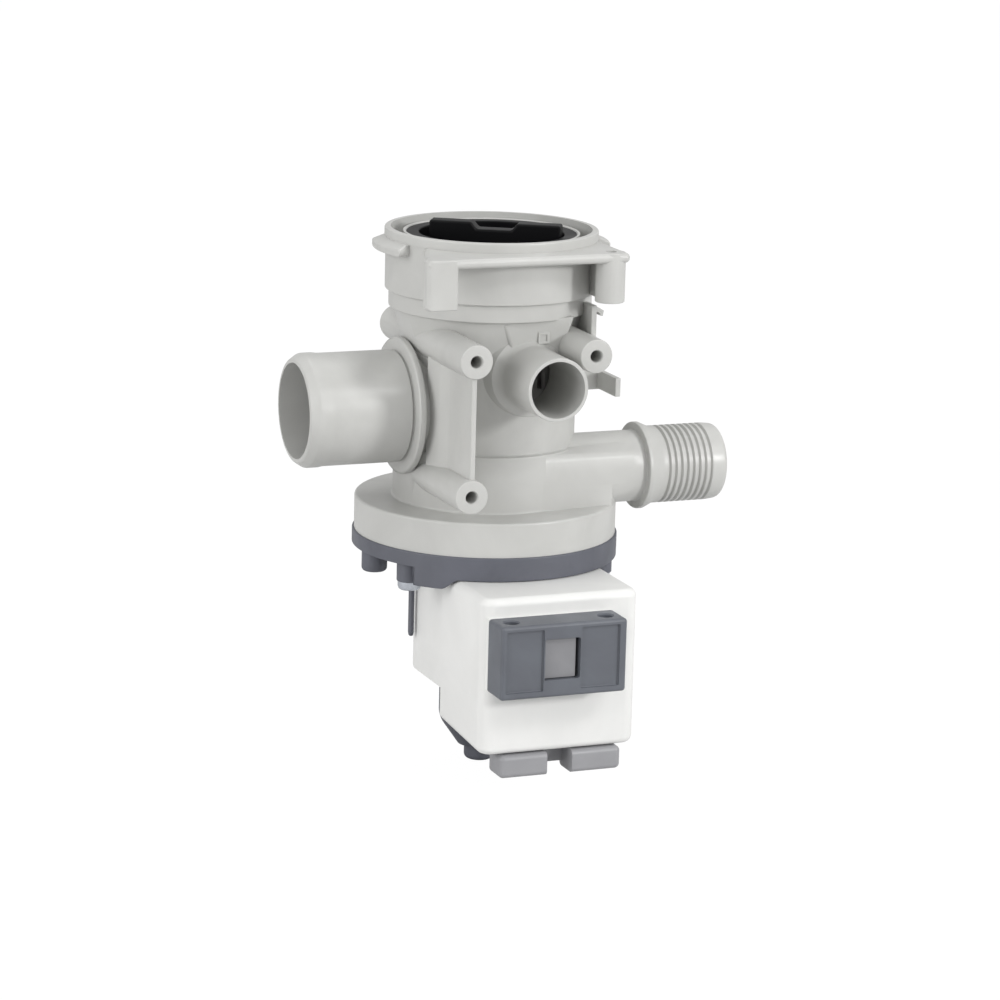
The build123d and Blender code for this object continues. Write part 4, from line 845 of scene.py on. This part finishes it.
def plain_metal(name, colours, roughness, streaks, relief):
    """Metal: two close tones in streaks round its axis, which the tool or the rolling leaves."""
    material, tree = bare_material(name)
    place_on = add_node(tree, "ShaderNodeTexCoord")
    stretch = add_node(tree, "ShaderNodeMapping", {"Vector": (place_on, "Object"), "Scale": (0.15, 0.15, 1)})
    lines = add_node(
        tree,
        "ShaderNodeTexNoise",
        {"Vector": (stretch, 0), "Scale": 1 / streaks, "Detail": 3.0},
    )
    tint = add_node(
        tree,
        "ShaderNodeMix",
        {0: (lines, 0), 6: linear(colours[0]), 7: linear(colours[1])},
        data_type="RGBA",
    )
    dull = add_node(
        tree,
        "ShaderNodeMapRange",
        {0: (lines, 0), 1: 0.3, 2: 0.7, 3: roughness - 0.06, 4: roughness + 0.08},
    )
    bump = add_node(tree, "ShaderNodeBump", {"Height": (lines, 0), "Distance": relief, "Strength": 0.4})
    shader = add_node(
        tree,
        "ShaderNodeBsdfPrincipled",
        {"Base Color": (tint, 2), "Metallic": 1.0, "Roughness": (dull, 0), "Normal": (bump, 0)},
    )
    add_node(tree, "ShaderNodeOutputMaterial", {"Surface": (shader, 0)})
    return material


def joined(parts):
    """One mesh of several separate solids."""
    whole = bmesh.new()
    for mesh in parts:
        data = bpy.data.meshes.new("joined solid")
        mesh.to_mesh(data)
        mesh.free()
        whole.from_mesh(data)
    return whole


# Zinc plating is bright and slightly blue, with soft wide highlights.
screw_steel = plain_metal("zinc_plated_steel", ("D3D7DE", "B9BEC7"), 0.3, 0.4 * mm, 0.01 * mm)
thread = []
for turn in range(thread_turns):
    root = thread_start + turn * thread_pitch
    thread += [(root, thread_root), (root + thread_pitch / 2, thread_crest)]
shank = ((head_seat, thread_crest), (shank_top, thread_crest), *thread, (screw_tip, 0))
head_dome = ((head_bottom, 3.4), (-124.1, 3.9), (-123.2, head_radius))
head = ((head_bottom, 0), *head_dome, (head_seat, head_radius))
screws = []
for angle in screw_angles:
    spot = tower_spot(angle)
    screw = turned(head + shank, spot, steps=48)
    recess = bmesh.new()
    star = bmesh.ops.create_circle(recess, segments=recess_steps, radius=recess_radius, cap_ends=True)
    for index, vert in enumerate(star["verts"]):
        vert.co *= 1 + recess_lobe_share * cos(index * recess_lobes * 2 * pi / recess_steps)
    pushed = bmesh.ops.extrude_face_region(recess, geom=list(recess.faces))["geom"]
    far_side = [item for item in pushed if isinstance(item, bmesh.types.BMVert)]
    bmesh.ops.translate(recess, vec=(0, 0, recess_height), verts=far_side)
    bmesh.ops.translate(recess, vec=(spot[0], spot[1], recess_bottom), verts=recess.verts)
    bmesh.ops.recalc_face_normals(recess, faces=recess.faces)
    screws.append(combined(screw, "DIFFERENCE", [recess]))
place(joined(screws), "tower_screws", screw_steel, "pump_body", "screw_steel", "flange_screws")

# Stator overmould. White glass-filled PBT moulded in one shot round the coils and laminations, so no
# water reaches them; the corners are well rounded and the surface is smoother than the grey parts.
overmould_colours = ("E6E6E4", "E0E0DE")
stator_top, stator_bottom = -118.0, -174.0
stator_left, stator_right = -26.5, 32.0
stator_front, stator_back = -68.0, -28.0
stator_round, stator_bottom_round, stator_top_round = 5.0, 2.5, 2.8
round_back_bottom, round_back_radius = -161.0, 24.8
core_top, core_bottom, core_pocket_radius = -131.85, -156.15, 22.45
core_legs = ((-17.65, -8.35), (8.35, 17.65))
can_gap = 0.3
connector_left, connector_right = -25.25, 21.35
connector_front, connector_back = -81.9, -69.5
connector_top, connector_bottom = -124.2, -150.2

# White PBT: almost even in colour, with a soft gloss.
overmould_plastic = moulded_plastic("white_pbt", overmould_colours, 0.4, 0.5 * mm, 0.012 * mm, flow=30 * mm)
side_outline = (
    (stator_front, stator_top),
    (stator_back, stator_top),
    (stator_back, stator_bottom + 2.5),
    (stator_front, stator_bottom),
)
stator = prism([(stator_left, y, z) for y, z in side_outline], (stator_right - stator_left, 0, 0))
soften(
    stator,
    stator_round,
    8,
    where=lambda p: p.y < stator_front + 1 and not stator_left + 1 < p.x < stator_right - 1,
)
soften(stator, stator_bottom_round, 6, where=lambda p: p.z < stator_bottom + 2.6)
soften(stator, stator_top_round, 6, where=lambda p: p.z > stator_top - 0.01 and p.y < stator_back - 2)
round_back = rod(round_back_bottom, stator_top, round_back_radius)
saddle = block(-round_back_radius, round_back_radius, stator_back - 2, 0, round_back_bottom, stator_top)
seat_inset = 0.3
seat = block(
    connector_left + seat_inset,
    connector_right - seat_inset,
    connector_back,
    -63,
    connector_bottom + seat_inset,
    connector_top - seat_inset,
)
stator = combined(stator, "UNION", [round_back, saddle, seat])
coil_pocket = block(-24.75, 24.75, -66.3, -28.7, -165.65, -122.35)
core_pocket = rod(core_bottom, core_top, core_pocket_radius)
leg_pockets = [block(left, right, -29, 0, core_bottom, core_top) for left, right in core_legs]
bobbin_neck_way = block(-18.15, 18.15, -64.15, -55.35, stator_bottom - overrun, -165.6)
can_way = rod(stator_bottom - overrun, stator_top + overrun, can_radius + can_gap)
stator = combined(
    stator,
    "DIFFERENCE",
    [coil_pocket, core_pocket, *leg_pockets, bobbin_neck_way, can_way],
)
place(stator, "stator_block", overmould_plastic, "pump_body", "overmould_plastic", "stator_overmould")

# Connector block. Grey polyamide socket for the harness plug, clipped on the front of the stator, with
# two sunk panels, a window for the insert's latch and two round holes over the contacts.
connector_colours = ("63676E", "5B5E65")
connector_round = 1.2
panels = ((-23.45, -9.55), (4.35, 18.65))
panel_depth, panel_top_margin, panel_bottom_margin = 0.9, 1.8, 2.4
window_left, window_right, window_floor = -9.15, 4.0, -76.3
window_bottom, window_top = -144.0, -129.5
socket_places, socket_y = (-19.45, 15.55), -75.7
socket_bottom, socket_step, socket_radius = -138.2, -134.2, 2.7
socket_mouth, socket_mouth_radius = -123.6, 3.2

# Unfilled polyamide: an even satin, a little glossier than the bracket.
connector_plastic = moulded_plastic("grey_polyamide", connector_colours, 0.42, 0.5 * mm, 0.02 * mm)
connector = block(
    connector_left, connector_right, connector_front, connector_back, connector_bottom, connector_top
)
soften(connector, connector_round, 5, where=lambda p: p.y < connector_back - 0.5)
sunk = []
for left, right in panels:
    panel = block(
        left,
        right,
        connector_front - overrun,
        connector_front + panel_depth,
        connector_bottom + panel_bottom_margin,
        connector_top - panel_top_margin,
    )
    sunk.append(soften(panel, 0.5))
window = block(
    window_left, window_right, connector_front - overrun, window_floor, window_bottom, window_top
)
sunk.append(soften(window, 0.9, 4, where=lambda p: p.x > window_right - 1))
socket_outline = (
    (socket_bottom, 0),
    (socket_bottom, 1.3),
    (socket_step, 1.3),
    (socket_step, socket_radius),
    (-124.7, socket_radius),
    (-124.1, socket_mouth_radius),
    (socket_mouth, socket_mouth_radius),
    (socket_mouth, 0),
)
sunk += [turned(socket_outline, (x, socket_y, 0), steps=48) for x in socket_places]
connector = combined(connector, "DIFFERENCE", sunk)
place(connector, "socket_block", connector_plastic, "pump_body", "connector_plastic", "connector_block")

# Contacts. Two round pins of tin-plated brass, turned, with domed ends, pressed into the socket block.
# The plating is warm and bright, with the fine rings of the lathe.
pin_colours, pin_radius, pin_top = ("D8D3C4", "BFB9A6"), 1.15, -130.0
pin_metal = plain_metal("tin_plated_brass", pin_colours, 0.28, 0.3 * mm, 0.005 * mm)
pin_dome = ((pin_top - 0.4, pin_radius), (pin_top - 0.1, 0.9), (pin_top, 0))
pin_outline = ((socket_bottom, 0), (socket_bottom, pin_radius), *pin_dome)
pins = joined([turned(pin_outline, (x, socket_y, 0), steps=32) for x in socket_places])
place(pins, "contact_pins", pin_metal, "pump_body", "pin_metal", "terminal_pins")

# Bobbin and latch insert. Light grey polyamide: the bobbin's two feet come out under the white block
# and rest in the washer's base, and the insert holds the contacts and shows in the connector's window.
# The insert's colours are the bobbin's grey with painted shade: one shade darker for its recess in the
# window.
bobbin_colours, insert_shaded_colours = ("97979A", "8F8F92"), ("868689", "7F7F82")
foot_left, foot_right, foot_front, foot_back = -19.5, 26.1, -69.0, -57.5
foot_bottom, foot_top, foot_round = -182.35, -174.15, 1.8
notch_left, notch_right, notch_back, notch_bottom = -1.8, 7.6, -59.5, -183.4
foot_web_z = -180.35
former_side, former_bottom, former_top, former_rim = 24.45, -165.35, -122.65, 1.5
former_front, former_back, neck_half_width, neck_front = -55.5, -29.0, 18.0, -64.0
leg_x, leg_half_width, former_wall = 13.0, 5.85, 1.2
insert_right, insert_front, insert_gap = 2.9, -80.3, 0.15

# Natural polyamide with a grey tint: even and satin. The insert is the same polyamide painted one shade
# darker, as painted shade for its sunk place in the window.
bobbin_plastic = moulded_plastic("light_grey_polyamide", bobbin_colours, 0.42, 0.5 * mm, 0.02 * mm)
insert_painted_shade_plastic = moulded_plastic("grey_insert_polyamide_painted_shade", insert_shaded_colours, 0.42, 0.5 * mm, 0.02 * mm)
feet = soften(block(foot_left, foot_right, foot_front, foot_back, foot_bottom, foot_top), foot_round, 6)
formers = []
for x in (-leg_x, leg_x):
    left, right = x - leg_half_width, x + leg_half_width
    formers.append(block(left, right, -56.9, -29.1, core_bottom - former_wall, core_top + former_wall))
for y in (former_back, former_front):
    formers.append(block(-former_side, former_side, y - former_rim, y, former_bottom, former_top))
bobbin_neck = block(-neck_half_width, neck_half_width, neck_front, former_front, -175, -157.5)
bobbin = combined(feet, "UNION", formers + [bobbin_neck])
foot_notch = block(notch_left, notch_right, foot_front - overrun, notch_back, notch_bottom, foot_top)
web_notch = block(notch_left, notch_right, notch_back - 0.5, foot_back + overrun, notch_bottom, foot_web_z)
leg_ways = [block(left, right, -58, -28, core_bottom, core_top) for left, right in core_legs]
bobbin = combined(bobbin, "DIFFERENCE", [foot_notch, web_notch, *leg_ways])
place(bobbin, "coil_bobbin_feet", bobbin_plastic, "pump_body", "bobbin_plastic", "coil_bobbin")
insert = block(
    window_left + insert_gap,
    insert_right,
    insert_front,
    window_floor - insert_gap,
    window_bottom + insert_gap,
    window_top - insert_gap,
)
soften(insert, 0.4, 3)
# The insert carries the bobbin's polyamide with painted shade, a shade darker than the feet.
place(insert, "latch_insert", insert_painted_shade_plastic, "pump_body", "bobbin_plastic", "terminal_holder")

# Coils and cutout. Enamelled copper wire of 0.3 mm in neat layers, drawn as ridges of 0.6 mm round the
# legs; a small thermal cutout in a black shell lies between the two coils.


def layered_metal(name, colours, roughness, layer, relief, across, distortion, strength, coat=0.0):
    """Metal in even layers of wire or sheet: dark joints between bright crests."""
    material, tree = bare_material(name)
    place_on = add_node(tree, "ShaderNodeTexCoord")
    layers = add_node(
        tree,
        "ShaderNodeTexWave",
        {"Vector": (place_on, "Object"), "Scale": 1 / (20 * layer), "Distortion": distortion},
        bands_direction=across,
    )
    tint = add_node(
        tree,
        "ShaderNodeMix",
        {0: (layers, 1), 6: linear(colours[0]), 7: linear(colours[1])},
        data_type="RGBA",
    )
    bump = add_node(tree, "ShaderNodeBump", {"Height": (layers, 1), "Distance": relief, "Strength": strength})
    shader = add_node(
        tree,
        "ShaderNodeBsdfPrincipled",
        {
            "Base Color": (tint, 2),
            "Metallic": 1.0,
            "Roughness": roughness,
            "Normal": (bump, 0),
            "Coat Weight": coat,
        },
    )
    add_node(tree, "ShaderNodeOutputMaterial", {"Surface": (shader, 0)})
    return material


# The enamel is a clear coat over the copper, so the wire shines through it in a dark orange.
copper_colours = ("6E3316", "B0612D")
winding_copper = layered_metal(
    "enamelled_copper_wire", copper_colours, 0.32, 0.6 * mm, 0.2 * mm, "Y", 0.4, 0.8, coat=0.6
)
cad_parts["coil_windings"].material_slots[0].material = winding_copper
cutout_plastic = moulded_plastic("black_pps", ("1D1E20", "17181A"), 0.35, 0.4 * mm, 0.01 * mm)
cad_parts["thermal_cutout"].material_slots[0].material = cutout_plastic

# Laminations. A stack of 0.5 mm electrical steel sheets, punched and riveted: the edges show as fine
# dark lines between bright ones, with a thin brown oxide.
steel_colours = ("3F3D3A", "8B8A87")
lamination_steel = layered_metal("electrical_steel", steel_colours, 0.45, 0.5 * mm, 0.08 * mm, "Z", 0.2, 0.7)
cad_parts["stator_core"].material_slots[0].material = lamination_steel

# Rotor. Inside the can: the impeller and its dog in glass-filled polypropylene, a ground stainless
# shaft in sintered bronze bearings, and a pressed ferrite ring that turns on its plastic hub.
impeller_colours, ferrite_colours = ("8C8E90", "828486"), ("3A3B3D", "2F3032")
shaft_colours, bronze_colours = ("CFCFCD", "B8B8B6"), ("8A6A3C", "6F532D")

# Ground steel is nearly a mirror. Sintered bronze is matt and porous, and ferrite is dark with a dull gleam.
impeller_plastic = moulded_plastic("glass_filled_polypropylene", impeller_colours, 0.5, 0.6 * mm, 0.03 * mm)
shaft_steel = plain_metal("ground_stainless_steel", shaft_colours, 0.18, 0.2 * mm, 0.004 * mm)
bearing_bronze = plain_metal("sintered_bronze", bronze_colours, 0.5, 0.5 * mm, 0.03 * mm)
ferrite = moulded_plastic("sintered_ferrite", ferrite_colours, 0.55, 0.3 * mm, 0.03 * mm, ior=2.2)
for material, nodes in (
    (impeller_plastic, ("impeller", "driven_dog", "magnet_hub")),
    (shaft_steel, ("impeller_shaft", "thrust_washers")),
    (bearing_bronze, ("front_bearing", "rear_bearing")),
    (ferrite, ("rotor_magnet",)),
    (bracket_plastic, ("bearing_plate",)),
):
    for node in nodes:
        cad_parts[node].material_slots[0].material = material

# Floor, light and camera. A plain pale floor that keeps the shadow, soft lamps over a pale room, and
# the photograph's view: a long lens from the left and slightly above. Sizes in metres.
floor_size, floor_gap = 30.0, 0.2 * mm
paper_colour, glow_share, glow_strength = "D0D0D0", 0.92, 1.06
room_strength, backdrop_strength = 0.6, 1.0
white_light = (1, 1, 1, 1)

floor_mesh = bmesh.new()
bmesh.ops.create_grid(floor_mesh, x_segments=1, y_segments=1, size=floor_size / 2)
bmesh.ops.translate(floor_mesh, vec=(0, 0, cad_box[0][2] - floor_gap), verts=floor_mesh.verts)
floor_data = bpy.data.meshes.new("floor")
floor_mesh.to_mesh(floor_data)
floor_mesh.free()
floor = bpy.data.objects.new("floor", floor_data)
bpy.context.scene.collection.objects.link(floor)
floor_paint, tree = bare_material("white_paper_sweep")
ray = add_node(tree, "ShaderNodeLightPath")
lit = add_node(tree, "ShaderNodeMath", {0: (ray, "Is Camera Ray"), 1: glow_share}, operation="MULTIPLY")
paper = add_node(tree, "ShaderNodeBsdfDiffuse", {"Color": linear(paper_colour)})
glow = add_node(tree, "ShaderNodeEmission", {"Color": white_light, "Strength": glow_strength})
blend = add_node(tree, "ShaderNodeMixShader", {0: (lit, 0), 1: (paper, 0), 2: (glow, 0)})
add_node(tree, "ShaderNodeOutputMaterial", {"Surface": (blend, 0)})
floor_data.materials.append(floor_paint)

world = bpy.data.worlds.new("pale_room")
bpy.context.scene.world = world
world.use_nodes = True
tree = world.node_tree
tree.nodes.clear()
ray = add_node(tree, "ShaderNodeLightPath")
room = add_node(tree, "ShaderNodeBackground", {"Color": white_light, "Strength": room_strength})
backdrop = add_node(tree, "ShaderNodeBackground", {"Color": white_light, "Strength": backdrop_strength})
sky = add_node(tree, "ShaderNodeMixShader", {0: (ray, "Is Camera Ray"), 1: (room, 0), 2: (backdrop, 0)})
add_node(tree, "ShaderNodeOutputWorld", {"Surface": (sky, 0)})

lamp_aim = Vector((0, 0, -0.1))
for name, spot, size, power in (
    ("key_low", (0.83, -1.26, 0.36), (0.2, 0.2), 9.8),
    ("key_strip", (0.6, -1.1, 1.0), (0.9, 0.12), 5.0),
    ("fill_left", (-1.5, -0.3, 0.3), (1.2, 1.2), 12.5),
    ("soft_box_top", (0.1, 0.2, 1.3), (1.2, 1.2), 5.0),
):
    lamp = bpy.data.lights.new(name, "AREA")
    lamp.shape = "RECTANGLE"
    lamp.size, lamp.size_y = size
    lamp.energy = power
    lamp_object = bpy.data.objects.new(name, lamp)
    lamp_object.location = spot
    lamp_object.rotation_euler = (lamp_aim - Vector(spot)).to_track_quat("-Z", "Y").to_euler()
    bpy.context.scene.collection.objects.link(lamp_object)

azimuth, elevation, roll = radians(-22.059), radians(13.006), radians(1.481)
camera_distance, sensor_width, lens_length = 1.34019, 36.0, 133.858
target_right, target_height = 0.005405, -0.099215
back = Vector((sin(azimuth) * cos(elevation), -cos(azimuth) * cos(elevation), sin(elevation)))
right = Vector((cos(azimuth), sin(azimuth), 0))
up = back.cross(right)
image_right = right * cos(roll) + up * sin(roll)
image_up = up * cos(roll) - right * sin(roll)
target = right * target_right + Vector((0, 0, target_height))
view = Matrix((image_right, image_up, back)).transposed().to_4x4()
view.translation = target + back * camera_distance
camera_data = bpy.data.cameras.new("camera")
camera_data.sensor_width = sensor_width
camera_data.lens = lens_length
camera = bpy.data.objects.new("camera", camera_data)
camera.matrix_world = view
bpy.context.scene.collection.objects.link(camera)
bpy.context.scene.camera = camera
bpy.context.scene.view_settings.view_transform = "Standard"
